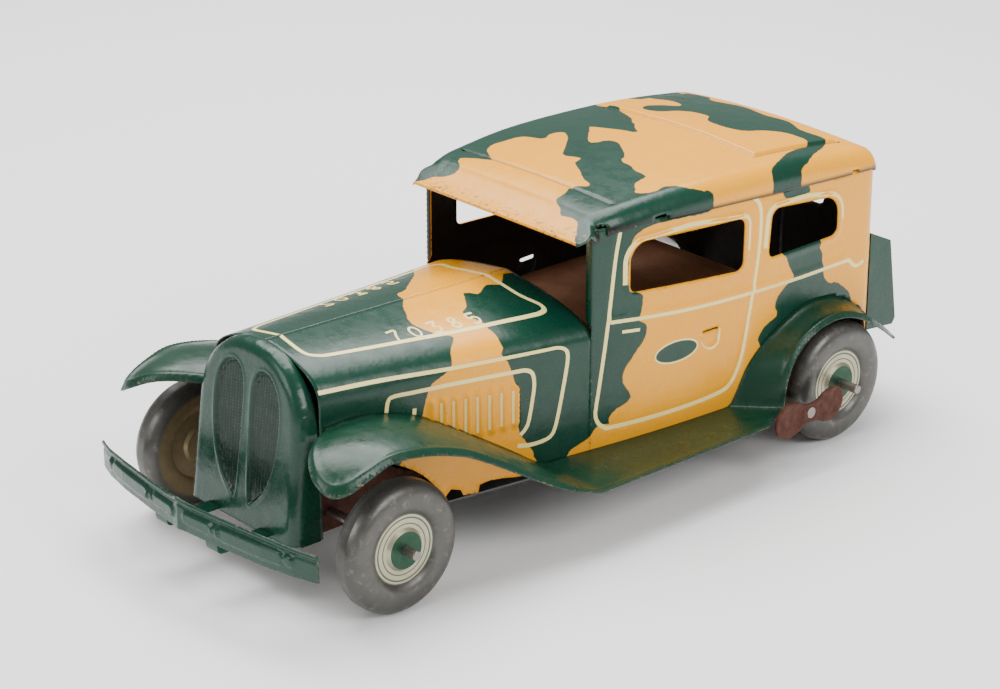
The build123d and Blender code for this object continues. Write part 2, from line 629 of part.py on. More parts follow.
# The second arbor stands above the line from the winding arbor to the rear axle.
REACH_1 = pitch_r(GREAT_TEETH) + pitch_r(PINION_TEETH) + MESH_GAP
REACH_2 = pitch_r(SECOND_TEETH) + pitch_r(PINION_TEETH) + MESH_GAP
SPAN = hypot(REAR_AXLE[0] - SPRING_AXIS[0], REAR_AXLE[1] - SPRING_AXIS[1])
TILT = degrees(atan2(REAR_AXLE[1] - SPRING_AXIS[1], REAR_AXLE[0] - SPRING_AXIS[0]))
ALONG = (REACH_1 ** 2 - REACH_2 ** 2 + SPAN ** 2) / (2 * SPAN)
RISE = sqrt(REACH_1 ** 2 - ALONG ** 2)
ANGLE_1 = TILT + degrees(atan2(RISE, ALONG))
SECOND_AXIS = rotated(SPRING_AXIS, ANGLE_1, REACH_1)
ANGLE_2 = degrees(atan2(REAR_AXLE[1] - SECOND_AXIS[1], REAR_AXLE[0] - SECOND_AXIS[0]))

SPRING_X = (-6.0, 2.0)    # width of the mainspring
SPRING_T = 0.3
SPRING_TURNS = 8
SPRING_IN = 3.0           # inner radius of the coil
SPRING_OUT = 10.4         # outer radius of the coil
GREAT_X = (4.0, 5.0)
RATCHET_X = (5.2, 6.2)
SECOND_X = (-9.6, -8.6)
SECOND_PINION_X = (3.0, 6.0)
AXLE_PINION_X = (-11.0, -7.2)
RATCHET_R = 5.0
RATCHET_ROOT = 4.0
CLICK_PIVOT_R = 8.2       # distance of the click's stud from the winding arbor
PLATE_Z = (4.6, 36.0)
PILLARS = [(46.5, 9.0), (46.5, 32.0), (86.5, 32.5), (86.0, 8.0)]
PILLAR_R = 1.4


def gear_outline(centre, teeth, phase, plane, thin=0.8):
    """A gear with straight-sided teeth; one tooth points at the phase angle."""
    r = pitch_r(teeth)
    root = r - 1.25 * MODULE
    tip = r + 0.8 * MODULE
    half = 90 / teeth * thin
    points = []
    for i in range(teeth):
        middle = phase + 360 * i / teeth
        root_half = half * 1.25 if teeth > 20 else half
        for radius, turn in ((root, -root_half), (r, -half), (tip, -0.45 * half),
                             (tip, 0.45 * half), (r, half), (root, root_half)):
            points.append(rotated(centre, middle + turn, radius))
    with BuildSketch(plane) as outline:
        with BuildLine():
            Polyline(*points, close=True)
        make_face()
    return outline.sketch


def gear(centre, teeth, phase, x, bore, holes, name):
    """A flat gear between x[0] and x[1], with lightening holes in its web."""
    with BuildPart() as wheel:
        extrude(gear_outline(centre, teeth, phase, side_plane(x[0])), amount=x[1] - x[0], dir=(1, 0, 0))
        with BuildSketch(side_plane(x[0])):
            with Locations(centre):
                Circle(bore)
        extrude(amount=x[1] - x[0], mode=Mode.SUBTRACT)
        if holes:
            with BuildSketch(side_plane(x[0])):
                for i in range(holes):
                    with Locations(rotated(centre, phase + 360 * (i + 0.5) / holes, 0.56 * pitch_r(teeth))):
                        Circle(1.7)
            extrude(amount=x[1] - x[0], mode=Mode.SUBTRACT)
    save(wheel, name)
    return wheel


great_wheel = gear(SPRING_AXIS, GREAT_TEETH, ANGLE_1, GREAT_X, ARBOR_R + RUNNING_FIT, 0, "great_wheel")
second_pinion = gear(SECOND_AXIS, PINION_TEETH, ANGLE_1 + 180 + 180 / PINION_TEETH, SECOND_PINION_X,
                     SECOND_ARBOR_R, 0, "second_pinion")
second_wheel = gear(SECOND_AXIS, SECOND_TEETH, ANGLE_2, SECOND_X, SECOND_ARBOR_R, 4, "second_wheel")
axle_pinion = gear(REAR_AXLE, PINION_TEETH, ANGLE_2 + 180 + 180 / PINION_TEETH, AXLE_PINION_X,
                   AXLE_R, 0, "axle_pinion")
second_arbor = pin(SECOND_AXIS, -PLATE_X - 1.6, PLATE_X + 1.6, SECOND_ARBOR_R, "second_arbor")

with BuildPart() as ratchet_wheel:
    with BuildSketch(side_plane(RATCHET_X[0])):
        with BuildLine():
            points = []
            for i in range(RATCHET_TEETH):
                points.append(rotated(SPRING_AXIS, 360 * i / RATCHET_TEETH, RATCHET_ROOT))
                points.append(rotated(SPRING_AXIS, 360 * i / RATCHET_TEETH, RATCHET_R))
                points.append(rotated(SPRING_AXIS, 360 * (i + 0.5) / RATCHET_TEETH, (RATCHET_R + RATCHET_ROOT) / 2))
            Polyline(*points, close=True)
        make_face()
        with Locations(SPRING_AXIS):
            Circle(ARBOR_R, mode=Mode.SUBTRACT)
    extrude(amount=RATCHET_X[1] - RATCHET_X[0])
save(ratchet_wheel, "ratchet_wheel")

# The click drops into a ratchet tooth and turns on a stud riveted to the great wheel.
STUD_ANGLE = 25.0
STUD = rotated(SPRING_AXIS, STUD_ANGLE, CLICK_PIVOT_R)
STUD_R = 0.7

with BuildPart() as click_stud:
    with BuildSketch(side_plane(GREAT_X[1])):
        with Locations(STUD):
            Circle(STUD_R)
    extrude(amount=RATCHET_X[1] - GREAT_X[1])
    with BuildSketch(side_plane(RATCHET_X[1] + 0.1)):
        with Locations(STUD):
            Circle(1.2)
    extrude(amount=0.5)
    with BuildSketch(side_plane(RATCHET_X[1])):
        with Locations(STUD):
            Circle(STUD_R)
    extrude(amount=0.1)
save(click_stud, "click_stud")

CLICK_X = (GREAT_X[1] + 0.1, RATCHET_X[1])

with BuildPart() as click:
    with BuildSketch(side_plane(CLICK_X[0])):
        with BuildLine():
            Polyline(STUD, rotated(STUD, 60, 1.6), rotated(SPRING_AXIS, 60, 7.0), rotated(SPRING_AXIS, 84, 6.0),
                     rotated(SPRING_AXIS, 88.6, 5.2), rotated(SPRING_AXIS, 88.6, 4.35),
                     rotated(SPRING_AXIS, 84, 4.75), rotated(SPRING_AXIS, 80, 5.3), rotated(SPRING_AXIS, 60, 5.7),
                     rotated(STUD, 190, 1.6), close=True)
        make_face()
        with Locations(STUD):
            Circle(1.6)
            Circle(STUD_R + RUNNING_FIT, mode=Mode.SUBTRACT)
    extrude(amount=CLICK_X[1] - CLICK_X[0])
save(click, "click")

with BuildPart() as click_spring:
    with BuildSketch(side_plane(CLICK_X[0])):
        with BuildLine():
            Polyline(rotated(SPRING_AXIS, 120, 9.0), rotated(SPRING_AXIS, 112, 9.4),
                     rotated(SPRING_AXIS, 80, 7.45), rotated(SPRING_AXIS, 80, 7.2),
                     rotated(SPRING_AXIS, 112, 9.1), rotated(SPRING_AXIS, 120, 8.6), close=True)
        make_face()
    extrude(amount=0.9)
    with BuildSketch(side_plane(GREAT_X[1])):
        with Locations(rotated(SPRING_AXIS, 118, 9.0)):
            Circle(0.8)
    extrude(amount=1.0)
save(click_spring, "click_spring")

# Winding arbor: a stepped steel shaft with a hooked core for the mainspring.
CORE_R = 2.5
with BuildPart() as winding_arbor:
    with BuildSketch(side_plane(-PLATE_X - 1.6)):
        with Locations(SPRING_AXIS):
            Circle(ARBOR_R)
    extrude(amount=BOARD_X + PLATE_X + 1.6)
    with BuildSketch(side_plane(SPRING_X[0])):
        with Locations(SPRING_AXIS):
            Circle(CORE_R)
    extrude(amount=SPRING_X[1] - SPRING_X[0])
save(winding_arbor, "winding_arbor")


def spiral_point(turn, radius_shift):
    """A point on the mainspring's spiral after so many turns."""
    radius = SPRING_IN + (SPRING_OUT - SPRING_IN) * turn / SPRING_TURNS + radius_shift
    return rotated(SPRING_AXIS, 360 * turn - 160, radius)


SPIRAL_STEPS = 12         # straight facets in each turn
with BuildPart() as mainspring:
    with BuildSketch(side_plane(SPRING_X[0])):
        with BuildLine():
            turns = [i / SPIRAL_STEPS for i in range(SPRING_TURNS * SPIRAL_STEPS + 1)]
            inner = [spiral_point(t, 0) for t in turns]
            outer = [spiral_point(t, SPRING_T) for t in turns]
            hook = [rotated(PILLARS[0], 40, 1.5), rotated(PILLARS[0], 62, 1.5)]
            Polyline(*inner, hook[0], hook[1], *reversed(outer), close=True)
        make_face()
    extrude(amount=SPRING_X[1] - SPRING_X[0])
save(mainspring, "mainspring")

PLATE_HOLES = [(SPRING_AXIS, ARBOR_R), (SECOND_AXIS, SECOND_ARBOR_R), (REAR_AXLE, AXLE_R)]


def motor_plate(side, name):
    """One flat side plate, with lugs that sit on the base plate."""
    with BuildPart() as plate:
        with BuildSketch(side_plane(side * PLATE_X)):
            with Locations((sum(MOTOR_Y) / 2, sum(PLATE_Z) / 2)):
                RectangleRounded(MOTOR_Y[1] - MOTOR_Y[0], PLATE_Z[1] - PLATE_Z[0], 5)
            for centre, radius in PLATE_HOLES:
                with Locations(centre):
                    Circle(radius + RUNNING_FIT, mode=Mode.SUBTRACT)
            for centre in PILLARS:
                with Locations(centre):
                    Circle(0.9, mode=Mode.SUBTRACT)
        extrude(amount=side * PLATE_T)
        for y in (47.5, 87.5):
            with BuildSketch(Plane.XY.offset(PAN_Z)):
                with Locations((side * (PLATE_X + 2.4), y)):
                    Rectangle(4.8, 5)
            extrude(amount=PLATE_T)
    save(plate, name)
    return plate


motor_plate_left = motor_plate(1, "motor_plate_left")
motor_plate_right = motor_plate(-1, "motor_plate_right")

with BuildPart() as motor_pillars:
    with BuildSketch(side_plane(-PLATE_X)):
        with Locations(*PILLARS):
            Circle(PILLAR_R)
    extrude(amount=2 * PLATE_X)
    with BuildSketch(side_plane(-PLATE_X - PLATE_T - 0.5)):
        with Locations(*PILLARS):
            Circle(0.9)
    extrude(amount=2 * (PLATE_X + PLATE_T + 0.5))
save(motor_pillars, "motor_pillars")

# Winding key: a flat two-lobed plate, peened onto the end of the arbor.
with BuildPart() as winding_key:
    with BuildSketch(side_plane(KEY_X)):
        with Locations(SPRING_AXIS):
            with Locations((0.46 * KEY_R, 0), (-0.46 * KEY_R, 0)):
                Ellipse(0.54 * KEY_R, 6.2)
            Rectangle(8, 7)
            Circle(ARBOR_R, mode=Mode.SUBTRACT)
    extrude(amount=KEY_T)
save(winding_key, "winding_key")
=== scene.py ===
import math

import bpy
import numpy as np
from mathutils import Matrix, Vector
from mathutils.geometry import delaunay_2d_cdt


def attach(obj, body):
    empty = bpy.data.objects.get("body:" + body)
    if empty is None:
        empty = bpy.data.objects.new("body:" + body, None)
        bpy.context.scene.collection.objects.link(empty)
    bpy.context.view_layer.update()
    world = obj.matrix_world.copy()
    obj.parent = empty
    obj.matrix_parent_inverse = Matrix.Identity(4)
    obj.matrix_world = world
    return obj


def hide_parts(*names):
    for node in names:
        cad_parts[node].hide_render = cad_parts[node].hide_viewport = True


# Clockwork tinplate saloon car.  Sizes are in millimetres and become metres when a mesh is made.
# +Z is up, the bonnet points along -Y and +X is the car's left side.

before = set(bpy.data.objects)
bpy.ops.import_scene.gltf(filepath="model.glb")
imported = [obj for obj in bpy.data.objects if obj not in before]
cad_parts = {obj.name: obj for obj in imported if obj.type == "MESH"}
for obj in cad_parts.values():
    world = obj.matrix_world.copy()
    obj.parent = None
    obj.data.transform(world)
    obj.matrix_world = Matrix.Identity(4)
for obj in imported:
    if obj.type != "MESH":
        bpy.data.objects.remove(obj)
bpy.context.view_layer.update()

MM = 0.001
TIN = 0.4
SILL_Z = 15.0
SHOULDER_Z = 49.0
NOSE_Y, NOSE_W, NOSE_TOP = -88.5, 22.4, 63.0
COWL_Y, COWL_W, COWL_TOP = -5.0, 34.2, 61.5
BELLY_Y, BELLY_W = 60.0, 38.8
TAIL_Y, TAIL_W, CORNER_R = 105.5, 38.0, 5.5
SEAM_FRONT_Z, SEAM_REAR_Z = 81.6, 76.2
CROWN_SPAN = 30.0                      # the bonnet's crown takes this much of the unrolled height
CROWN_POWER = 3.1                      # how square the crown's shoulder is
CROWN_W, CROWN_H = 28.0, 14.0          # its usual size
CROWN_SLOPE = 0.12                     # fall from the ridge to each side
AXLE_Y, AXLE_Z = 81.3, 18.0


# ---- helpers: curves, distances and meshes --------------------------------------
def smooth_path(points, closed=False, step=0.8):
    """A Catmull-Rom curve through the points, as an array with roughly even spacing."""
    pts = np.asarray(points, float)
    count = len(pts)
    out = []
    for i in range(count if closed else count - 1):
        if closed:
            a, b, c, d = (pts[(i + k) % count] for k in (-1, 0, 1, 2))
        else:
            b, c = pts[i], pts[i + 1]
            a = pts[i - 1] if i else 2 * b - c
            d = pts[i + 2] if i + 2 < count else 2 * c - b
        pieces = max(1, int(round(np.linalg.norm(c - b) / step)))
        for k in range(pieces):
            t = k / pieces
            out.append(0.5 * (2 * b + (c - a) * t + (2 * a - 5 * b + 4 * c - d) * t * t
                              + (3 * b - 3 * c + d - a) * t ** 3))
    if not closed:
        out.append(pts[-1])
    return np.array(out)


def straight_path(points, step=0.8):
    """The closed polygon's edges, cut into even lengths."""
    pts = np.asarray(points, float)
    out = []
    for i in range(len(pts)):
        b, c = pts[i], pts[(i + 1) % len(pts)]
        pieces = max(1, int(round(np.linalg.norm(c - b) / step)))
        out.extend(b + (c - b) * k / pieces for k in range(pieces))
    return np.array(out)


def rounded(points, radii, step=0.6):
    """A closed polygon with rounded corners, cut into even lengths."""
    pts = np.asarray(points, float)
    out = []
    for i, radius in enumerate(radii):
        before, corner, after = pts[i - 1], pts[i], pts[(i + 1) % len(pts)]
        u = (before - corner) / np.linalg.norm(before - corner)
        v = (after - corner) / np.linalg.norm(after - corner)
        half = math.acos(max(-1, min(1, float(u @ v)))) / 2
        reach = radius / math.tan(half)
        centre = corner + (u + v) / np.linalg.norm(u + v) * radius / math.sin(half)
        start, end = corner + u * reach - centre, corner + v * reach - centre
        a0 = math.atan2(start[1], start[0])
        sweep = (math.atan2(end[1], end[0]) - a0 + math.pi) % (2 * math.pi) - math.pi
        pieces = max(3, int(abs(sweep) * radius / step))
        for k in range(pieces + 1):
            a = a0 + sweep * k / pieces
            out.append(centre + radius * np.array((math.cos(a), math.sin(a))))
    return straight_path(out, step)


def distance_to(path, u, v, closed=False):
    """Distance of every (u, v) from a path of straight pieces."""
    pts = np.asarray(path, float)
    ends = np.roll(pts, -1, axis=0) if closed else pts[1:]
    starts = pts if closed else pts[:-1]
    best = np.full(np.shape(u), 1e9)
    for (ax, ay), (bx, by) in zip(starts, ends):
        dx, dy = bx - ax, by - ay
        t = np.clip(((u - ax) * dx + (v - ay) * dy) / (dx * dx + dy * dy + 1e-12), 0, 1)
        best = np.minimum(best, np.hypot(u - ax - t * dx, v - ay - t * dy))
    return best


def inside(path, u, v):
    """True for every (u, v) within the closed path."""
    pts = np.asarray(path, float)
    ends = np.roll(pts, -1, axis=0)
    result = np.zeros(np.shape(u), bool)
    for (ax, ay), (bx, by) in zip(pts, ends):
        if ay != by:
            crosses = ((ay > v) != (by > v)) & (u < (bx - ax) * (v - ay) / (by - ay) + ax)
            result ^= crosses
    return result


def depth_in(path, u, v):
    """Distance of every (u, v) from the closed path, positive within it."""
    d = distance_to(path, u, v, closed=True)
    return np.where(inside(path, u, v), d, -d)


def bead(distance, height, width):
    """A rounded ridge along a line."""
    return height * np.exp(-(distance / width) ** 2)


def step_up(x, width):
    """Smooth step from 0 to 1 about x = 0."""
    t = np.clip(x / width + 0.5, 0, 1)
    return t * t * (3 - 2 * t)


def new_object(name, verts, faces, materials, attributes=None, smooth=True):
    """A mesh object from points in millimetres."""
    mesh = bpy.data.meshes.new(name)
    mesh.from_pydata((np.asarray(verts, float) * MM).tolist(), [], [list(map(int, f)) for f in faces])
    for key, values in (attributes or {}).items():
        layer = mesh.attributes.new(key, "FLOAT", "POINT")
        layer.data.foreach_set("value", np.asarray(values, np.float32))
    mesh.polygons.foreach_set("use_smooth", [smooth] * len(mesh.polygons))
    for material in materials:
        mesh.materials.append(material)
    obj = bpy.data.objects.new(name, mesh)
    bpy.context.collection.objects.link(obj)
    return obj


def triangulate(outline, holes, spacing, dense=None):
    """Even triangles within the outline and outside the holes; dense(u, v) marks where they are finer."""
    loops = [np.asarray(outline)] + [np.asarray(h) for h in holes]
    points, edges = [], []
    for loop in loops:
        first = len(points)
        points.extend(map(tuple, loop))
        edges.extend((first + i, first + (i + 1) % len(loop)) for i in range(len(loop)))
    low, high = loops[0].min(0), loops[0].max(0)
    us = np.arange(low[0], high[0], spacing)
    vs = np.arange(low[1], high[1], spacing)
    grid_u, grid_v = np.meshgrid(us, vs)
    grid_u = grid_u + (np.arange(len(vs)) % 2)[:, None] * spacing / 2
    keep = np.ones(grid_u.shape, bool)
    if dense is not None:
        index_u, index_v = np.meshgrid(np.arange(len(us)), np.arange(len(vs)))
        keep = dense(grid_u, grid_v) | ((index_u % 2 == 0) & (index_v % 2 == 0))
    for k, loop in enumerate(loops):
        depth = depth_in(loop, grid_u, grid_v)
        keep &= (depth if k == 0 else -depth) > 0.45 * spacing
    points.extend(zip(grid_u[keep].tolist(), grid_v[keep].tolist()))
    verts, _, faces, *_ = delaunay_2d_cdt([Vector(p) for p in points], edges, [], 0, 1e-6)
    flat = np.array([(v.x, v.y) for v in verts])
    tris = np.array([f for f in faces if len(f) == 3])
    middle = flat[tris].mean(axis=1)
    good = inside(loops[0], middle[:, 0], middle[:, 1])
    for loop in loops[1:]:
        good &= ~inside(loop, middle[:, 0], middle[:, 1])
    return flat, tris[good]


def sheet_metal(obj, thickness=TIN):
    """Gives a surface its thickness, inwards, with the second material on its back."""
    solid = obj.modifiers.new("thickness", "SOLIDIFY")
    solid.thickness = thickness * MM
    solid.offset = -1
    solid.material_offset = 1
    return obj


def grid_faces(rows, columns, closed=False):
    """Quads of a grid stored row after row."""
    faces = []
    for i in range(rows - 1):
        for j in range(columns if closed else columns - 1):
            k = (j + 1) % columns
            faces.append((i * columns + j, i * columns + k, (i + 1) * columns + k, (i + 1) * columns + j))
    return faces


def orient(verts, faces, outward):
    """Turns every face so that it looks along outward(centre)."""
    verts = np.asarray(verts)
    turned = []
    for face in faces:
        a, b, c = verts[face[0]], verts[face[1]], verts[face[2]]
        normal = np.cross(b - a, c - a)
        centre = (a + b + c) / 3
        turned.append(face if normal @ outward(centre) >= 0 else tuple(reversed(face)))
    return turned


# ---- materials --------------------------------------------------------------------
class Shader:
    """A material's node tree, with short calls for the nodes used here."""

    def __init__(self, name):
        self.material = bpy.data.materials.new(name)
        self.material.use_nodes = True
        self.tree = self.material.node_tree
        self.surface = self.tree.nodes["Principled BSDF"]
        self.place = self.tree.nodes.new("ShaderNodeTexCoord").outputs["Object"]

    def link(self, source, socket):
        if isinstance(source, bpy.types.NodeSocket):
            self.tree.links.new(source, socket)
        else:
            socket.default_value = source

    def noise(self, scale, detail=3.0, rough=0.55):
        node = self.tree.nodes.new("ShaderNodeTexNoise")
        node.inputs["Scale"].default_value = scale
        node.inputs["Detail"].default_value = detail
        node.inputs["Roughness"].default_value = rough
        self.link(self.place, node.inputs["Vector"])
        return node.outputs["Fac"]

    def attribute(self, name):
        node = self.tree.nodes.new("ShaderNodeAttribute")
        node.attribute_name = name
        return node.outputs["Fac"]

    def math(self, kind, a, b=0.0):
        node = self.tree.nodes.new("ShaderNodeMath")
        node.operation = kind
        self.link(a, node.inputs[0])
        self.link(b, node.inputs[1])
        return node.outputs[0]

    def ramp(self, value, low, high, to_low=0.0, to_high=1.0):
        node = self.tree.nodes.new("ShaderNodeMapRange")
        self.link(value, node.inputs["Value"])
        for key, number in (("From Min", low), ("From Max", high), ("To Min", to_low), ("To Max", to_high)):
            node.inputs[key].default_value = number
        return node.outputs["Result"]

    def mix(self, factor, a, b):
        node = self.tree.nodes.new("ShaderNodeMix")
        node.data_type = "RGBA"
        self.link(factor, node.inputs["Factor"])
        for source, socket in ((a, node.inputs["A"]), (b, node.inputs["B"])):
            self.link(source if isinstance(source, bpy.types.NodeSocket) else (*source, 1.0), socket)
        return node.outputs["Result"]

    def bump(self, height, strength, distance):
        node = self.tree.nodes.new("ShaderNodeBump")
        node.inputs["Strength"].default_value = strength
        node.inputs["Distance"].default_value = distance
        self.link(height, node.inputs["Height"])
        self.tree.links.new(node.outputs["Normal"], self.surface.inputs["Normal"])

    def finish(self, colour, roughness, metallic=0.0):
        self.link(colour, self.surface.inputs["Base Color"])
        self.link(roughness, self.surface.inputs["Roughness"])
        self.link(metallic, self.surface.inputs["Metallic"])
        self.surface.inputs["Specular IOR Level"].default_value = SPECULAR
        return self.material


YELLOW_A, YELLOW_B = (0.97, 0.42, 0.0), (0.90, 0.355, 0.0)
GREEN_A, GREEN_B = (0.0025, 0.048, 0.026), (0.002, 0.032, 0.018)
CREAM = (1.0, 0.86, 0.34)
RUST_SPECK = (0.16, 0.055, 0.022)
SPECULAR = 0.4
CHIP_METAL = 0.5                       # how metallic a chip is


def worn(shader, colour, amount, scale=900.0):
    """Small chips down to dark bare tin, thick along the edges that the edge attribute marks."""
    edge = shader.attribute("edge")
    near = shader.ramp(edge, 0.0, 1.3, 0.16, 0.0)
    spots = shader.math("ADD", shader.noise(scale, 4.0, 0.65), near)
    chipped = shader.ramp(spots, 0.735 - amount, 0.755 - amount)
    tone = shader.mix(shader.noise(2400.0), (0.10, 0.045, 0.02), (0.22, 0.18, 0.13))
    # darkens towards near-black where the attribute marks it: painted shade in grooves and hollows, and a
    # dark line along the roof seam
    colour = shader.mix(shader.attribute("painted_shade_and_seam_line"), colour, (0.008, 0.010, 0.007))
    return shader.mix(chipped, colour, tone), chipped


def camouflage():
    """Printed ochre tinplate with dark green patches where the green attribute is positive."""
    s = Shader("camouflage_print")
    wobble = s.ramp(s.noise(700.0, 2.0), 0.3, 0.7, -0.12, 0.12)
    mask = s.ramp(s.math("ADD", s.attribute("green"), wobble), -0.07, 0.07)
    yellow = s.mix(s.noise(28.0, 4.0), YELLOW_A, YELLOW_B)
    yellow = s.mix(s.ramp(s.noise(2600.0, 2.0), 0.62, 0.72), yellow, (0.62, 0.30, 0.07))
    green = s.mix(s.noise(60.0, 3.0), GREEN_A, GREEN_B)
    colour, chipped = worn(s, s.mix(mask, yellow, green), 0.0)
    s.bump(s.noise(160.0, 3.0), 0.12, 0.0015)
    rough = s.ramp(s.noise(240.0, 5.0), 0.3, 0.75, 0.22, 0.36)
    return s.finish(colour, rough, s.ramp(chipped, 0, 1, 0, CHIP_METAL))


def plain_paint(name, a, b, amount=0.0, rough=(0.20, 0.36)):
    """Gloss paint with a slow change of tone and chips along its edges."""
    s = Shader(name)
    colour, chipped = worn(s, s.mix(s.noise(70.0, 4.0), a, b), amount)
    s.bump(s.noise(190.0, 3.0), 0.14, 0.0015)
    roughness = s.ramp(s.noise(260.0, 5.0), 0.3, 0.75, *rough)
    return s.finish(colour, roughness, s.ramp(chipped, 0, 1, 0, CHIP_METAL))


def rusty(name, a, b, scale=420.0):
    """Matt rust over sheet metal."""
    s = Shader(name)
    colour = s.mix(s.noise(scale, 6.0, 0.7), a, b)
    s.bump(s.noise(scale * 3, 5.0, 0.7), 0.35, 0.0006)
    return s.finish(colour, s.ramp(s.noise(scale), 0.3, 0.7, 0.55, 0.85), 0.25)


def bare_metal(name, a, b, rough=(0.3, 0.5), metallic=0.85):
    """Dull metal with stains and a few rust specks."""
    s = Shader(name)
    colour = s.mix(s.noise(140.0, 5.0), a, b)
    specks = s.ramp(s.noise(800.0, 4.0, 0.7), 0.63, 0.70)
    s.bump(s.noise(900.0, 3.0), 0.15, 0.0004)
    return s.finish(s.mix(specks, colour, RUST_SPECK), s.ramp(s.noise(300.0), 0.3, 0.7, *rough), metallic)


HUB_R, RING_R = 5.1, 9.75


def wheel_print(name, axle_y, outside):
    """Grey printed tyre; the outside also has a cream ring with fine dark circles and a green hub."""
    s = Shader(name)
    split = s.tree.nodes.new("ShaderNodeSeparateXYZ")
    s.link(s.place, split.inputs[0])
    dy = s.math("SUBTRACT", split.outputs["Y"], axle_y * MM)
    dz = s.math("SUBTRACT", split.outputs["Z"], AXLE_Z * MM)
    radius = s.math("SQRT", s.math("ADD", s.math("MULTIPLY", dy, dy), s.math("MULTIPLY", dz, dz)))
    radius = s.math("MULTIPLY", radius, 1.0 / MM)
    tyre = s.mix(s.noise(90.0, 5.0, 0.6), (0.065, 0.063, 0.058), (0.135, 0.13, 0.118))
    scuffs = s.ramp(s.noise(420.0, 6.0, 0.75), 0.56, 0.68)
    tyre = s.mix(scuffs, tyre, (0.18, 0.165, 0.14))
    if not outside:
        inner = s.mix(s.noise(260.0, 6.0, 0.7), (0.36, 0.30, 0.17), (0.20, 0.13, 0.06))
        colour = s.mix(s.ramp(radius, 14.2, 15.4), inner, tyre)
        s.bump(s.noise(500.0, 4.0), 0.2, 0.0005)
        return s.finish(colour, s.ramp(s.noise(260.0), 0.3, 0.7, 0.35, 0.6), 0.55)
    cream = s.mix(s.noise(350.0, 5.0, 0.7), (0.50, 0.47, 0.33), (0.34, 0.32, 0.22))
    for at, width in ((7.0, 0.16), (8.6, 0.22), (RING_R, 0.35)):
        line = s.math("LESS_THAN", s.math("ABSOLUTE", s.math("SUBTRACT", radius, at)), width)
        cream = s.mix(line, cream, (0.08, 0.10, 0.07))
    hub = s.mix(s.noise(600.0, 4.0, 0.7), (0.008, 0.06, 0.032), (0.04, 0.075, 0.045))
    colour = s.mix(s.math("LESS_THAN", radius, RING_R), tyre, cream)
    colour = s.mix(s.math("LESS_THAN", radius, HUB_R), colour, hub)
    s.bump(s.noise(500.0, 4.0), 0.15, 0.0005)
    return s.finish(colour, s.ramp(s.noise(260.0), 0.3, 0.7, 0.28, 0.50), 0.7)


PRINT = camouflage()
GREEN = plain_paint("green_enamel", GREEN_A, GREEN_B)
GREEN_WORN = plain_paint("green_enamel_worn", (0.003, 0.045, 0.022), (0.002, 0.028, 0.014), 0.0, (0.24, 0.42))
GREEN_FLAT = plain_paint("green_enamel_flat", GREEN_A, GREEN_B, -0.17)
# cream for the printed lines, also used for the painted highlights along the louvres and window beads
CREAM_PRINT_AND_HIGHLIGHT = plain_paint("cream_print_and_highlight", CREAM, (0.98, 0.78, 0.28), -0.2)
# near-black for the back of the shells: painted shade standing in for the dark, unlit inside of the car
INSIDE_SHADE = plain_paint("inside_painted_shade", (0.012, 0.011, 0.010), (0.030, 0.022, 0.016), 0.0, (0.4, 0.6))
UNDER = bare_metal("underside_tin", (0.20, 0.20, 0.19), (0.30, 0.29, 0.27))
TINPLATE = bare_metal("dull_tin", (0.22, 0.21, 0.20), (0.34, 0.32, 0.28))
DARK_TIN = bare_metal("dark_tin", (0.07, 0.07, 0.075), (0.13, 0.12, 0.12))
STEEL = bare_metal("steel_wire", (0.20, 0.17, 0.15), (0.34, 0.31, 0.28), (0.25, 0.45))
BLUED = bare_metal("blued_spring", (0.05, 0.06, 0.10), (0.10, 0.11, 0.16), (0.2, 0.35))
BRASS = bare_metal("stamped_brass", (0.55, 0.38, 0.13), (0.42, 0.28, 0.10), (0.25, 0.45))
RUST = rusty("key_rust", (0.12, 0.032, 0.014), (0.028, 0.012, 0.009))
FLOOR_RUST = rusty("floor_rust", (0.25, 0.095, 0.032), (0.09, 0.033, 0.014), 120.0)


# ---- the body's surface ------------------------------------------------------------
def body_w(y):
    """Half width of the body at y, below the shoulder."""
    y = np.asarray(y, float)
    bonnet = NOSE_W + (COWL_W - NOSE_W) * (y - NOSE_Y) / (COWL_Y - NOSE_Y)
    front = BELLY_W - (BELLY_W - COWL_W) * ((BELLY_Y - y) / (BELLY_Y - COWL_Y)) ** 2
    rear = BELLY_W - (BELLY_W - TAIL_W) * ((y - BELLY_Y) / (TAIL_Y - CORNER_R - BELLY_Y)) ** 2
    return np.where(y < COWL_Y, bonnet, np.where(y < BELLY_Y, front, rear))


def bonnet_top(y):
    """Height of the bonnet's ridge at y."""
    return NOSE_TOP + (COWL_TOP - NOSE_TOP) * (np.asarray(y, float) - NOSE_Y) / (COWL_Y - NOSE_Y)


def seam_z(y):
    """Height of the roof seam at y."""
    return SEAM_FRONT_Z + (SEAM_REAR_Z - SEAM_FRONT_Z) * (np.minimum(y, TAIL_Y) - COWL_Y) / (TAIL_Y - COWL_Y)


def crown_curve():
    """Section of the bonnet's crown from the shoulder to the ridge: share of length, width and height."""
    angle = np.linspace(0, math.pi / 2, 400)
    across, up = np.cos(angle) ** (2 / CROWN_POWER), np.sin(angle) ** (2 / CROWN_POWER)
    run = np.concatenate([[0], np.cumsum(np.hypot(np.diff(across) * CROWN_W, np.diff(up) * CROWN_H))])
    return run / run[-1], across, up


CROWN_SHARE, CROWN_ACROSS, CROWN_UP = crown_curve()


def crown_p(x, y):
    """Unrolled height of the bonnet point that lies x from the middle."""
    across = np.clip(np.asarray(x, float) / body_w(y), 0, 1)
    return SHOULDER_Z + CROWN_SPAN * np.interp(-across, -CROWN_ACROSS, CROWN_SHARE)


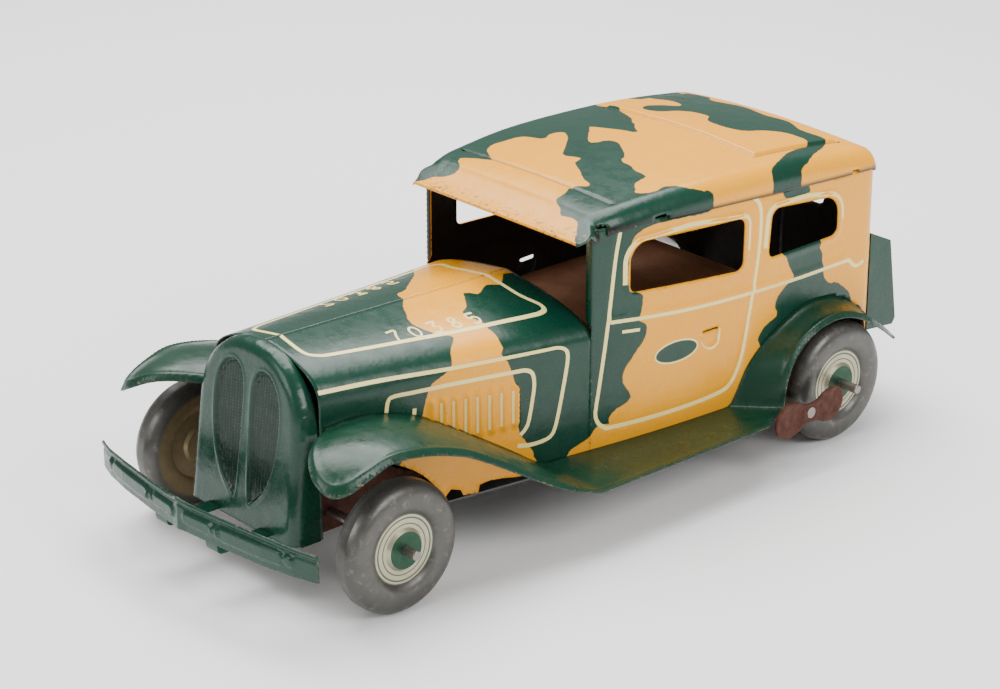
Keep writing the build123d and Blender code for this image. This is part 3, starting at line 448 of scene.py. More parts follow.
LOUVRES, LOUVRE_Y, LOUVRE_PITCH = 8, -55.5, 3.72
DOOR = [
    (4.0, 79.6), (2.6, 72), (1.2, 60), (0.2, 52), (-0.8, 45), (-2.2, 36), (-3.2, 30), (-3.2, 27.6),
    (-2.2, 25.4), (-0.4, 24.0), (2, 23.3), (18, 22.8), (32, 23.0), (41, 23.7), (44.6, 25.0), (47, 28),
    (49.2, 33), (50.7, 40), (52.2, 48), (53.5, 55), (54.6, 63), (55, 69), (54.9, 74), (53.8, 77.2),
    (51.4, 79.2), (48, 79.9), (36.8, 80.3)]
BELT = [
    (1.2, 54.4), (5, 54.0), (15, 53.0), (30, 51.8), (52, 50.9), (72, 50.4), (90.6, 50.4), (93.2, 49.9),
    (94.6, 48.6), (96.4, 47.6), (98.4, 47.9), (99.6, 48.4)]
BONNET_LOOP = [
    (-88.0, 55.1), (-70, 54.6), (-50, 53.3), (-33, 52.4), (-20, 51.8), (-15.6, 51.5), (-13.3, 50.1),
    (-12.6, 47.4), (-13.3, 42.5), (-15, 34), (-16.3, 28.6), (-17.6, 26.0), (-20, 25.0), (-24.5, 24.8),
    (-28.5, 25.4)]
LOUVRE_FRAME = [
    (-69.4, 40.9), (-68.9, 45), (-68.3, 48.1), (-66.6, 49.1), (-60, 48.8), (-45, 48.1), (-30, 47.2),
    (-26, 46.8), (-23.9, 45.4), (-23.3, 42), (-24, 37), (-25, 32), (-26, 29.9), (-27.6, 28.5)]
DASH = [(5.2, 50.7), (11.2, 50.0)]
HANDLE_LINE = [(33.4, 43.3), (33.8, 40.6), (35.4, 38.5), (37.6, 38.0), (39.7, 39.4), (40.2, 43.4)]
STROKE = [(-60.8, 40.2), (-60.4, 44.2)]
TOP_LOOP = [
    (0, -83.3), (3, -83.7), (8.6, -84), (11.4, -83.3), (13.1, -81), (14, -78), (16.2, -65), (18.6, -50),
    (20.5, -38), (22, -26), (23.2, -17), (23.4, -13.6), (22.6, -11.6), (20.4, -11), (17, -12.0),
    (13, -12.8), (5, -12.7), (0, -12.6)]
FRONT_WINDOW = [(7.6, 61.6), (7.6, 75.6), (48.6, 73.9), (48.4, 58.6)]
REAR_WINDOW = [(58.4, 59.6), (59.6, 74.0), (87.0, 71.4), (87.2, 59.8)]
FRONT_LOOP = rounded(FRONT_WINDOW, (1.8, 5.5, 2.6, 2.6))
REAR_LOOP = rounded(REAR_WINDOW, (1.8, 3.0, 6.0, 2.6))
HANDLE_DISH = (36.6, 41.4, 3.1)


def louvre_line(i):
    """Foot and top of one bonnet louvre."""
    y = LOUVRE_Y + LOUVRE_PITCH * i
    return [(y, max(40.4 - 2.3 * i, 32.4)), (y, 44.4 - 0.32 * i)]


def side_relief(y, z):
    """How far the pressing stands out of the body side."""
    relief = bead(distance_to(smooth_path(BELT[:7], step=6), y, z - 0.9), 0.35, 1.0)
    for loop in (FRONT_LOOP, REAR_LOOP):
        relief = relief + bead(distance_to(loop[::2], y, z, True) - 1.1, 0.45, 0.75)
    relief = relief - bead(distance_to(smooth_path(DOOR[:25], step=3), y, z), 0.22, 0.55)
    for i in range(LOUVRES):
        foot, top = louvre_line(i)
        away = distance_to([foot, top], y, z)
        lean = np.clip((y - foot[0] + 1.2) / 1.6, 0, 1)
        relief = relief + 0.95 * lean * step_up(1.15 - away, 0.7)
    cy, cz, r = HANDLE_DISH
    dish = step_up(r - np.hypot(y - cy, z - cz), 1.2) * (z < cz + 1.9)
    return relief - 0.7 * dish


# Paint: outlines of the printed patches, on the side as (y, z) and on top as (x, y).
BONNET_SIDE_YELLOW = [
    (-48.5, 66), (-47.8, 60.3), (-49.6, 59.4), (-49.4, 57.6), (-48.4, 55.5), (-48.2, 53.6),
    (-49.8, 52.2), (-52.5, 51), (-55, 49.8), (-56.3, 47.4), (-57.3, 44.5), (-58.6, 39.5), (-61, 34),
    (-66, 28), (-68, 22), (-66, 8), (-20, 8), (-20.6, 17.5), (-23, 20), (-23.5, 22.5), (-25, 24.5),
    (-26, 26.5), (-27.6, 28.2), (-28.3, 31), (-28.3, 35), (-28, 39), (-28.4, 42), (-29.7, 45),
    (-31, 49), (-31.9, 51.3), (-33.2, 52.9), (-33.4, 66)]
REAR_SIDE_YELLOW = [
    (-13.4, 8), (-13.2, 16), (-12.6, 18.2), (-11.5, 19.8), (-8.5, 20.8), (-5, 22.3), (-3, 24.6),
    (1.7, 24.7), (1.0, 25.7), (1.9, 27.2), (4, 28.5), (7.3, 29.4), (8.6, 31), (7.8, 32.7), (6.1, 34.8),
    (5.5, 37), (6.3, 39.5), (8.5, 42), (10.5, 44.3), (13, 47), (13.7, 49.3), (13.1, 51.4), (10.8, 52.8),
    (11.2, 54.8), (12.1, 57), (11.7, 60), (9.6, 61.4), (7.4, 62), (6.6, 67), (7.4, 74.5), (9.6, 77.9),
    (14, 79.2), (20, 79.4), (27, 79.1), (34.5, 78.7), (35.9, 80), (36.3, 82), (36.3, 95), (150, 95),
    (150, 8)]
SIDE_GREEN = [
    [(57, 95), (58.5, 84), (60.5, 81.5), (62.5, 80), (63.7, 77), (66, 75.6), (74.7, 75.4), (73.5, 78.3),
     (70.5, 80.4), (68.6, 81.2), (69.5, 84), (71, 95)],
    [(64.2, 61), (66, 57.5), (67.5, 54.5), (68.7, 52.5), (68.9, 50.8), (66, 49.3), (63, 47), (62, 45),
     (62.2, 43), (63.3, 41.2), (60, 40), (57.5, 38.8), (55.8, 36.8), (55.2, 35.8), (56, 34.5), (57, 30),
     (60, 8), (104, 8), (100, 33), (96.5, 35), (95, 37.5), (93.5, 40.5), (90.5, 43), (87.5, 45),
     (85, 45.2), (83, 46.8), (82, 49.5), (81.6, 51.5), (81.2, 53.5), (81.3, 55.4), (80, 57), (78.6, 61)],
    [(118, 8), (121, 30), (117, 44), (123, 52), (120, 60), (128, 66), (132, 58), (150, 52), (150, 8)]]
TOP_YELLOW = [
    (0, -3), (2, -8), (4.5, -10.5), (6.5, -13.5), (5, -16), (5.6, -18.5), (8, -22.3), (5.2, -25),
    (8.5, -27.5), (12, -30), (13.3, -32.5), (15, -33.6), (17.5, -32.5), (20.5, -31), (23, -31.8),
    (25, -31.2), (28, -31.9), (36, -33.3), (36, -48.2), (27, -48.2), (26, -47.5), (24.5, -46.3),
    (22.5, -43.5), (20.8, -43), (19.5, -46), (17, -47.3), (13, -49), (10, -48.6), (7, -46.8),
    (4, -45.3), (0, -42), (-2.5, -41.3), (-5.5, -39.5), (-6, -36.5), (-9, -33), (-13, -28.5),
    (-18, -23), (-24, -18.5), (-29, -13.5), (-36, -9), (-36, -3)]
FAR_SIDE_YELLOW = [
    [(-11, 66), (-9, 54), (-14, 47), (-19, 43), (-16, 36), (-22, 30), (-25, 22), (-23, 8), (20, 8),
     (17, 18), (22, 26), (19, 34), (26, 40), (24, 47), (31, 53), (28, 60), (33, 66), (30, 74), (36, 80),
     (38, 95), (-11, 95)],
    [(58, 95), (60, 80), (56, 70), (61, 60), (57, 50), (63, 42), (59, 33), (64, 25), (62, 8), (150, 8),
     (150, 95)],
    [(-66, 8), (-64, 26), (-58, 34), (-49, 37), (-42, 33), (-38, 24), (-40, 8)]]
FAR_SIDE_GREEN = [
    [(84, 95), (86, 80), (82, 70), (87, 60), (84, 50), (90, 42), (88, 30), (94, 8), (112, 8), (108, 36),
     (103, 48), (106, 58), (100, 70), (104, 80), (103, 95)],
    [(126, 8), (129, 30), (124, 44), (130, 56), (150, 60), (150, 8)]]
PATCH_SPLIT_Z = 53.5                   # above this height the bonnet takes the patches of the top


def most(paths, u, v):
    """How deep each point lies in the nearest of several closed paths."""
    return np.max([depth_in(smooth_path(p, closed=True, step=1.0), u, v) for p in paths], axis=0)


def green_on_side(y, z, left):
    """Positive where the side is green, and how deep in millimetres."""
    if left:
        yellow = np.minimum(most([REAR_SIDE_YELLOW], y, z), -most(SIDE_GREEN, y, z))
        return -np.maximum(yellow, most([BONNET_SIDE_YELLOW], y, z))
    return -np.minimum(most(FAR_SIDE_YELLOW, y, z), -most(FAR_SIDE_GREEN, y, z))


def green_on_top(x, y):
    """The same for the bonnet's top."""
    return -most([TOP_YELLOW], x, y)


def bonnet_point(y, p, lift=0.0):
    """The bonnet's surface at unrolled height p, on the left side."""
    w = body_w(y)
    share = np.clip((p - SHOULDER_Z) / CROWN_SPAN, 0, 1)
    across, up = np.interp(share, CROWN_SHARE, CROWN_ACROSS), np.interp(share, CROWN_SHARE, CROWN_UP)
    x = (w + lift) * across
    height = bonnet_top(y) - SHOULDER_Z + lift - CROWN_SLOPE * x
    return np.stack([x, y, np.where(p < SHOULDER_Z, p, SHOULDER_Z + height * up)], -1)


CORNER_LENGTH = CORNER_R * math.pi / 2
CORNER_START = TAIL_Y - CORNER_R
TAIL_END = CORNER_START + CORNER_LENGTH + TAIL_W - CORNER_R
PILLAR_RETURN = 2.4


def cabin_point(u, z, lift=0.0):
    """The cabin's surface: u runs along the side, round the tail's corner and across the tail."""
    u = np.asarray(u, float)
    turn = np.clip((u - CORNER_START) / CORNER_R, 0, math.pi / 2)
    across = np.maximum(u - CORNER_START - CORNER_LENGTH, 0)
    x = np.where(u < CORNER_START, body_w(np.clip(u, COWL_Y, CORNER_START)) + lift,
                 TAIL_W - CORNER_R + (CORNER_R + lift) * np.cos(turn) - across)
    y = np.where(u < CORNER_START, np.maximum(u, COWL_Y), CORNER_START + (CORNER_R + lift) * np.sin(turn))
    fold = np.maximum(COWL_Y - u, 0)
    return np.stack([x - fold, y, z], -1)


FRONT_ARCH_Y, FRONT_ARCH_Z, FRONT_ARCH_R = -78.0, 2.0, 30.0
REAR_ARCH_R = 23.2
BONNET_TOP_P = SHOULDER_Z + CROWN_SPAN


def arch_points(y, z, radius, start, end, count):
    """An arc of a wheel arch between two angles, as (y, z)."""
    turn = np.linspace(math.radians(start), math.radians(end), count)
    return [(y + radius * math.cos(a), z + radius * math.sin(a)) for a in turn]


def sill_points():
    """The bonnet side's lower edge: the front wheel arch, then a straight sill with one tab."""
    arch = arch_points(FRONT_ARCH_Y, FRONT_ARCH_Z, FRONT_ARCH_R, 110.5, 28, 16)
    return arch + [(-49.5, 18.2), (-46.4, 17.2), (-45.6, SILL_Z + 0.4), (-41, SILL_Z), (-40.5, 17.2),
                   (-37.5, 17.6), (-33, 17.2), (-29, 16.4), (-20, 16.0), (-12, SILL_Z + 0.6)]


def body_half(name, side):
    """One pressed half of the body shell: bonnet side and top, cabin side and half the tail."""
    left = side > 0
    lower = sill_points()
    bonnet_line = straight_path(
        [(NOSE_Y, lower[0][1])] + lower
        + [(COWL_Y, SILL_Z), (COWL_Y, BONNET_TOP_P), (NOSE_Y, BONNET_TOP_P)], 1.1)

    def busy(y, p):
        return (p < SHOULDER_Z) & (y > -59) & (y < -26) & (p > 28) & (p < 47)

    flat, tris = triangulate(bonnet_line, [], 0.75, busy)
    y, p = flat[:, 0], flat[:, 1]
    relief = np.where(p < SHOULDER_Z + 4, side_relief(y, p), 0)
    verts = bonnet_point(y, p, relief)
    on_side = green_on_side(y, verts[:, 2], left)
    on_top = green_on_top(side * verts[:, 0], y)
    green = np.where(verts[:, 2] > PATCH_SPLIT_Z, on_top, on_side)
    edge = distance_to(bonnet_line, y, p, True)
    edge = np.where(p < SHOULDER_Z - 5, np.minimum(edge, 3), edge)

    arch = arch_points(AXLE_Y, AXLE_Z, REAR_ARCH_R, 187.5, -7.5, 60)
    notch = TAIL_END - 17
    seam_front, seam_tail = float(seam_z(COWL_Y)) + 0.5, float(seam_z(TAIL_Y)) + 0.5
    rear_window = [(TAIL_END, 58.5), (notch + 2, 58.5), (notch + 0.6, 59.1), (notch, 60.5),
                   (notch, 67.5), (notch + 0.6, 68.9), (notch + 2, 69.5), (TAIL_END, 69.5)]
    cabin_line = straight_path(
        [(COWL_Y, SILL_Z)] + arch + [(TAIL_END, SILL_Z)] + rear_window
        + [(TAIL_END, seam_tail), (TAIL_Y, seam_tail), (COWL_Y - PILLAR_RETURN, seam_front),
           (COWL_Y - PILLAR_RETURN, 56.5), (COWL_Y - 1.4, 54.6), (COWL_Y, 53.8)], 1.0)
    slot_hole = rounded([(33.8, 43.0), (33.8, 43.9), (39.6, 44.0), (39.6, 43.1)], (0.3, 0.3, 0.3, 0.3), 0.4)

    def busy_cabin(u, z):
        near = distance_to(FRONT_LOOP[::3], u, z, True) < 3.2
        near |= distance_to(REAR_LOOP[::3], u, z, True) < 3.2
        near |= distance_to([(0, 53.5), (60, 50.4), (104, 50)], u, z) < 2.6
        near |= distance_to(smooth_path(DOOR[:25], step=4), u, z) < 1.6
        near |= np.abs(u - COWL_Y) < 1.6
        return near | (np.hypot(u - HANDLE_DISH[0], z - HANDLE_DISH[1]) < 5)

    flat_b, tris_b = triangulate(cabin_line, [FRONT_LOOP, REAR_LOOP, slot_hole], 0.8, busy_cabin)
    u, z = flat_b[:, 0], flat_b[:, 1]
    relief_b = np.where(u < CORNER_START + 4, side_relief(u, z), 0)
    verts_b = cabin_point(u, z, relief_b)
    green_b = green_on_side(u, z, left)
    edge_b = np.minimum(distance_to(cabin_line, u, z, True), distance_to(FRONT_LOOP, u, z, True) + 0.3)

    verts = np.concatenate([verts, verts_b])
    faces = [tuple(t) for t in tris] + [tuple(t + len(flat)) for t in tris_b]
    verts[:, 0] *= side

    def outward(c):
        across = side * 2.0 if c[2] < 60 or c[1] > COWL_Y else 0
        return np.array((across, 1.5 if c[1] > TAIL_Y - 4 else 0.0, 1.0 if c[1] < COWL_Y else 0))

    faces = orient(verts, faces, outward)
    obj = new_object(name, verts, faces, [PRINT, INSIDE_SHADE],
                     {"green": np.concatenate([green, green_b]), "edge": np.concatenate([edge, edge_b])})
    sheet_metal(obj)
    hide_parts(name)
    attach(obj, "body")
    return obj


# ---- printed lines and painted highlights ---------------------------------------------
def surface_normal(place, u, v):
    """Unit normal of a surface, by small steps."""
    h = 0.05
    du = place(u + h, v) - place(u - h, v)
    dv = place(u, v + h) - place(u, v - h)
    n = np.cross(du, dv)
    return n / np.linalg.norm(n, axis=-1, keepdims=True)


def ribbon(path, width, place, outward, rise=0.07):
    """A thin printed strip along a path on a surface: its points and faces."""
    path = np.asarray(path, float)
    tangent = np.gradient(path, axis=0)
    tangent /= np.linalg.norm(tangent, axis=1, keepdims=True) + 1e-9
    across = np.stack([-tangent[:, 1], tangent[:, 0]], -1) * width / 2
    rows = []
    for sign, height in ((1, rise), (-1, rise), (-1, -0.05), (1, -0.05)):
        p = path + sign * across
        base = place(p[:, 0], p[:, 1])
        n = surface_normal(place, p[:, 0], p[:, 1])
        flip = np.sign(np.sum(n * outward(base), axis=-1, keepdims=True))
        rows.append(base + n * flip * height)
    verts = np.stack(rows, 1).reshape(-1, 3)
    faces = grid_faces(len(path), 4, closed=True)
    last = 4 * (len(path) - 1)
    return verts, faces + [(0, 1, 2, 3), (last + 3, last + 2, last + 1, last)]


def joined(name, parts, side, materials, body="body"):
    """One object from several strips; side -1 mirrors it to the car's right."""
    verts, faces, count = [], [], 0
    for v, f in parts:
        v = np.array(v)
        v[:, 0] *= side
        verts.append(v)
        faces.extend(tuple(i + count for i in (face if side > 0 else reversed(face))) for face in f)
        count += len(v)
    obj = new_object(name, np.concatenate(verts), faces, materials, smooth=False)
    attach(obj, body)
    return obj


def side_outward(p):
    return np.broadcast_to(np.array((1.0, 0.0, 0.0)), p.shape)


def top_outward(p):
    return np.broadcast_to(np.array((0.0, 0.0, 1.0)), p.shape)


def on_bonnet(y, p):
    return bonnet_point(y, p, side_relief(y, p) * (p < SHOULDER_Z + 4))


def on_cabin(u, z):
    return cabin_point(u, z, side_relief(u, z))


def window_frame(loop, grow):
    """The cream outline that follows a window at a distance."""
    middle = loop.mean(0)
    reach = loop - middle
    return middle + reach * (1 + grow / np.linalg.norm(reach, axis=1, keepdims=True))


def sill_ends(loop):
    """The lower front and rear corners of a window, as (y, y), (z, z)."""
    low = loop[loop[:, 1] < loop[:, 1].min() + 4.2]
    front, rear = low[low[:, 0].argmin()], low[low[:, 0].argmax()]
    return (front[0], rear[0]), (front[1], rear[1])


DIGITS = {
    "3": [[(0, 4), (2.4, 4), (1.1, 2.5), (2.3, 1.7), (1.9, 0.3), (0.9, 0), (0, 0.5)]],
    "5": [[(2.3, 4), (0.3, 4), (0.2, 2.3), (1.4, 2.5), (2.3, 1.6), (1.9, 0.3), (0.8, 0), (0, 0.4)]],
    "7": [[(0, 4), (2.4, 4), (1.5, 2.1), (0.9, 0)]],
    "0": [[(1.2, 4), (0.3, 3.2), (0.1, 2), (0.4, 0.7), (1.2, 0), (2.1, 0.8), (2.3, 2), (2.0, 3.3), (1.2, 4)]],
    "8": [[(1.2, 2.2), (0.3, 3), (1.2, 4), (2.1, 3.1), (1.2, 2.2),
           (0.1, 1.1), (1.2, 0), (2.3, 1), (1.2, 2.2)]],
}
SERIAL = "70385"
DIGIT_START, DIGIT_PITCH, DIGIT_SIZE, DIGIT_LEAN = (17.2, -58.5), 6.2, 1.15, 0.10
LINE_W = 1.15


def lining_and_highlights(side):
    """All the cream lines of one side, a painted highlight along each louvre's lit edge and the made-up
    number.
    """
    parts = []
    for points in (BONNET_LOOP, LOUVRE_FRAME, STROKE):
        parts.append(ribbon(smooth_path(points, step=0.7), LINE_W, on_bonnet, side_outward))
    for points, width in ((DOOR, 1.2), (BELT, LINE_W), (DASH, 0.9), (HANDLE_LINE, 0.6)):
        parts.append(ribbon(smooth_path(points, step=0.7), width, on_cabin, side_outward))
    # the cream frame over the top and sides of each window is partly print and partly a painted highlight on
    # the raised bead round the window
    for loop in (FRONT_LOOP, REAR_LOOP):
        frame_line = window_frame(loop, 1.9)
        start = int(np.argmin(frame_line[:, 0] + 2 * frame_line[:, 1]))
        frame_line = np.roll(frame_line, -start, axis=0)
        above = frame_line[:, 1] > np.interp(frame_line[:, 0], *sill_ends(loop)) + 1.0
        parts.append(ribbon(frame_line[above], 1.2, on_cabin, side_outward))
    # painted highlight: a cream strip just left of each raised louvre, on its lit side
    for i in range(1, LOUVRES):
        foot, top = louvre_line(i)
        stroke = [(foot[0] - 0.7, foot[1] + 0.2), (top[0] - 0.7, top[1] - 0.2)]
        parts.append(ribbon(stroke, 0.55, on_bonnet, side_outward))
    loop = smooth_path(TOP_LOOP, step=0.7)
    unrolled = np.stack([loop[:, 1], crown_p(loop[:, 0], loop[:, 1])], -1)
    parts.append(ribbon(unrolled, LINE_W, bonnet_point, top_outward))
    for i, digit in enumerate(SERIAL):
        for stroke in DIGITS[digit]:
            pts = smooth_path(stroke, step=0.35)
            x = DIGIT_START[0] + DIGIT_LEAN * DIGIT_PITCH * i - DIGIT_SIZE * pts[:, 1]
            y = DIGIT_START[1] + DIGIT_PITCH * i + DIGIT_SIZE * pts[:, 0]
            unrolled = np.stack([y, crown_p(x, y)], -1)
            parts.append(ribbon(unrolled, 0.62, bonnet_point, top_outward))
    name = "lining_and_highlights_left" if side > 0 else "lining_and_highlights_right"
    return joined(name, parts, side, [CREAM_PRINT_AND_HIGHLIGHT])


BADGE_SIDES = 60
BADGE = (24.3, 40.4, 7.6, 3.1)         # y, z and half sizes of the plain oval on the door


def badge(side):
    """A plain green oval with a cream rim on the door."""
    cy, cz, a, b = BADGE
    turn = np.linspace(0, 2 * math.pi, BADGE_SIDES + 1)
    rim = np.stack([cy + a * np.cos(turn), cz + b * np.sin(turn)], -1)
    rim_part = ribbon(rim, 0.5, on_cabin, side_outward, 0.1)
    rings = [np.stack([cy + a * k * np.cos(turn[:-1]), cz + b * k * np.sin(turn[:-1])], -1)
             for k in (1, 0.6, 0.2)]
    rows = []
    for height, ring_list in ((0.07, rings), (-0.05, rings[::-1])):
        for ring in ring_list:
            rows.append(on_cabin(ring[:, 0], ring[:, 1]) + np.array((height, 0, 0)))
    verts = np.concatenate(rows)
    faces = grid_faces(6, BADGE_SIDES, closed=True)
    middle = range(2 * BADGE_SIDES, 3 * BADGE_SIDES)
    faces += [tuple(middle), tuple(reversed([i + BADGE_SIDES for i in middle]))]
    tag = "left" if side > 0 else "right"
    joined(f"door_oval_{tag}", [(verts, faces)], side, [GREEN_FLAT])
    joined(f"door_oval_rim_{tag}", [rim_part], side, [CREAM_PRINT_AND_HIGHLIGHT])


# ---- roof -----------------------------------------------------------------------------
ROOF_EDGE_R = 5.5
ROOF_STATIONS = np.array([(-12.5, 33.4, 80.15, 80.25), (-9.2, 34.6, 81.0, 81.1), (-6.0, 35.2, 82.6, 82.7),
                          (-3.4, 35.4, 84.0, 84.2), (-1.0, 35.4, 85.1, 85.6), (6, 36.6, 86.0, 87.0),
                          (30, 38.6, 87.2, 88.9), (66, 39.5, 86.2, 88.2), (94, 39.4, 83.4, 85.2),
                          (101, 39.2, 81.9, 83.2), (104.8, 39.0, 80.2, 81.0), (105.95, 38.9, 78.9, 79.3)])
SUNROOF = (61.0, 94.5, 29.5)
ROOF_YELLOW_FRONT = [
    (32.3, -16), (32.5, -9.8), (31, -8), (30, -6.6), (28, -5.1), (25, -5), (22, -5.3), (20, -3.6),
    (17, -2.4), (16.2, -1), (16.3, 1.5), (15, 4), (15, 6.3), (17.8, 8.5), (17, 10), (14, 10.8),
    (11, 12.5), (8, 14.5), (5, 16), (3.4, 17.2), (2.7, 20), (1, 20), (-1, 19), (-3, 18.8), (-4.6, 20),
    (-7, 23), (-10, 26.5), (-13.5, 30), (-15.5, 31.2), (-17, 32.2), (-18.7, 31), (-19, 28),
    (-17.5, 25.5), (-18, 24), (-21, 23.3), (-23.5, 22.3), (-25, 20), (-25.2, 17), (-26, 13),
    (-24.3, 9.3), (-21, 7), (-17, 4.5), (-22, 2.6), (-26, 0.2), (-22.5, -2.4), (-22, -4), (-22.5, -5.5),
    (-25, -7), (-27.5, -8), (-29, -10), (-29, -16)]
ROOF_YELLOW_REAR = [
    (46, 36.5), (38.5, 36), (37.5, 33), (36, 29), (33.5, 26), (32, 23), (32.7, 20), (32, 17),
    (30, 14.8), (28, 16.5), (25.8, 18.3), (25, 21), (24.3, 24), (22, 24.6), (19, 24.8), (16, 26.2),
    (13, 26.3), (11, 27.7), (9.8, 30), (7, 32.2), (4, 34.2), (1, 36), (-1.6, 36.2), (-3.4, 35),
    (-3.4, 33), (-4.6, 30.7), (-6.5, 31.5), (-9, 33.7), (-11.2, 36), (-14, 39), (-16, 41), (-12, 43),
    (-7, 45.2), (-2.6, 46.8), (-6.5, 49.6), (-9, 52), (-11.3, 53.2), (-14, 55.6), (-18, 57.6),
    (-22, 59.3), (-25, 61.2), (-27.5, 61.6), (-30, 61), (-33, 60.5), (-36, 61.8), (-38, 64),
    (-46, 65.5), (-46, 120), (46, 120)]
ROOF_GREEN = [
    (-46, 72), (-36, 74), (-31, 76.5), (-27, 77.5), (-22, 79), (-17.5, 78.5), (-15, 76), (-19, 72),
    (-21, 68), (-19, 65), (-16, 64.5), (-12.5, 66.5), (-11, 70), (-8, 73), (-4, 74.3), (-1, 74),
    (0.5, 72), (3, 70), (8, 69.8), (12, 70.8), (15, 73), (16.5, 78), (20, 82.8), (24, 84.3),
    (27.5, 84.5), (30, 82), (31, 77), (32.5, 71), (35, 66), (37, 61), (39, 58.8), (46, 58.4),
    (46, 69.6), (39.5, 70), (38, 74), (36.5, 77), (34.5, 82), (32, 87), (28, 91.5), (20, 90.5),
    (12, 93.5), (4, 92), (-6, 93.5), (-16, 91), (-22, 95), (-30, 93.5), (-46, 97)]


def smooth_table(y, column):
    """A roof dimension at y, eased between the stations."""
    curve = smooth_path(ROOF_STATIONS[:, (0, column)], step=0.8)
    return np.interp(y, curve[:, 0], curve[:, 1])


def panel_depth(x, y):
    """Distance into the sunroof panel, negative outside it."""
    y0, y1, half = SUNROOF
    return np.minimum(np.minimum(y - y0, y1 - y), half - np.abs(x))


def roof_relief(x, y):
    """Raised sunroof panel and the groove across the front."""
    into = panel_depth(x, y)
    groove = bead(y - GROOVE_Y, 0.45, 0.7) * (np.abs(x) < GROOVE_HALF)
    return 0.6 * step_up(into, 0.8) - groove - bead(into + 0.7, 0.25, 0.5)


GROOVE_Y, GROOVE_HALF = 5.4, 30.2       # the groove across the front of the roof
ROOF_FRONT_Y, ROOF_REAR_Y = -12.4, 105.9
TAIL_FACE_Y = 105.95
TAIL_TURN_Y, TAIL_TURN_W, TAIL_TURN_R = 100.0, 33.0, 5.95
ROOF_FLAT_W = 33.9
VISOR_SHIFT = 2.4                      # the visor is knocked a little to the left
TAB_SLOTS = ((-3.2, -0.6), (14.6, 20.4), (91.4, 94.4))


def in_tab_slot(centre):
    """True where the roof's flange is cut away over a tab of the body."""
    height = centre[2] - seam_z(centre[1])
    return any(a < centre[1] < b for a, b in TAB_SLOTS) and height < 1.3 and abs(centre[0]) > 30


def roof():
    """The roof pressing with its visor, flanges and sunroof panel, as one grid."""
    ys = np.unique(np.round(np.concatenate([
        np.arange(ROOF_FRONT_Y, 106, 1.3), np.arange(3.6, 7.4, 0.35), SUNROOF[0] + np.arange(-1.5, 1.6, 0.3),
        SUNROOF[1] + np.arange(-1.5, 1.6, 0.3), np.arange(101, 105.9, 0.5), np.arange(-6, 0, 0.6)]), 3))
    ys = ys[ys <= ROOF_REAR_Y]
    flange = np.linspace(0, 1, 8)
    arc = np.linspace(0, math.pi / 2, 12)[1:]
    near_panel = (1 - SUNROOF[2] / ROOF_FLAT_W) + np.arange(-0.05, 0.06, 0.01)
    inner = np.unique(np.concatenate([np.linspace(0, 1, 30), near_panel]))
    inner = inner[(inner > 0) & (inner <= 1)]
    rows, seen = [], []
    for y in ys:
        w, edge, crown = (float(smooth_table(y, c)) for c in (1, 2, 3))
        if y > TAIL_TURN_Y:
            w = min(w, TAIL_TURN_W + math.sqrt(max(0.0, TAIL_TURN_R ** 2 - (y - TAIL_TURN_Y) ** 2)))
        r = ROOF_EDGE_R * float(step_up(np.array(y + 5.5), 5.5)) + 0.3
        r = min(r, ROOF_EDGE_R)
        bottom = float(seam_z(y)) if y > -4.2 else edge - r - 0.4
        bottom = min(bottom, edge - r - 0.2)
        left = [(w, bottom + (edge - r - bottom) * t) for t in flange]
        left += [(w - r + r * math.cos(a), edge - r + r * math.sin(a)) for a in arc]
        left += [((w - r) * (1 - t), crown - (crown - edge) * (1 - t) ** 2) for t in inner]
        xs = np.array([p[0] for p in left] + [-p[0] for p in left[-2::-1]])
        zs = np.array([p[1] for p in left] + [p[1] for p in left[-2::-1]])
        zs = zs + roof_relief(xs, y) * (np.abs(xs) < w - r + 0.5)
        xs = xs + VISOR_SHIFT * float(step_up(np.array(-7.5 - y), 7.0))
        rows.append(np.stack([xs, np.full_like(xs, y), zs], -1))
    last = rows[-1]
    for k in (0.34, 0.67, 1.0):
        drop = last.copy()
        drop[:, 1] = TAIL_FACE_Y
        drop[:, 2] = last[:, 2] + (float(seam_z(TAIL_Y)) - last[:, 2]) * k
        rows.append(drop)
    grid = np.array(rows)
    count = grid.shape[1]
    verts = grid.reshape(-1, 3)
    x, y, z = verts.T
    rear = np.minimum(most([ROOF_YELLOW_REAR], x, y), -most([ROOF_GREEN], x, y))
    yellow = np.maximum(most([ROOF_YELLOW_FRONT], x, y), rear)
    border = np.minimum(z - seam_z(y), y - ROOF_FRONT_Y)
    # a dark line along the seam, plus painted shade in the groove round the sunroof panel and in the groove
    # across the front
    seam_line_and_groove_shade = np.clip(1.2 - (z - seam_z(y)) / 1.1, 0, 1) * (y > COWL_Y)
    seam_line_and_groove_shade = np.maximum(seam_line_and_groove_shade, bead(panel_depth(x, y) + 0.7, 0.55, 0.35))
    seam_line_and_groove_shade = np.maximum(seam_line_and_groove_shade, bead(y - GROOVE_Y, 0.5, 0.5) * (np.abs(x) < GROOVE_HALF))
    faces = [f for f in grid_faces(len(grid), count) if not in_tab_slot(verts[list(f)].mean(axis=0))]
    faces = orient(verts, faces, lambda c: np.array((c[0] * 0.12, 3.0 if c[1] > 105 else 0, 1.0)))
    obj = new_object("roof_pressing", verts, faces, [PRINT, INSIDE_SHADE],
                     {"green": -yellow, "edge": border + 0.35, "painted_shade_and_seam_line": seam_line_and_groove_shade})
    sheet_metal(obj)
    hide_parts("roof")
    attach(obj, "body")
    return obj


# ---- radiator ---------------------------------------------------------------------------
GRILLE_Y, GRILLE_W, GRILLE_TOP, GRILLE_Z = -98.4, 22.8, 64.2, 14.5
GRILLE_ROUND = 3.4
RIB_X, RIB_PITCH = 7.7, 1.16
SKIRT_ROWS = 7
GRILLE_RAKE = math.radians(6.5)


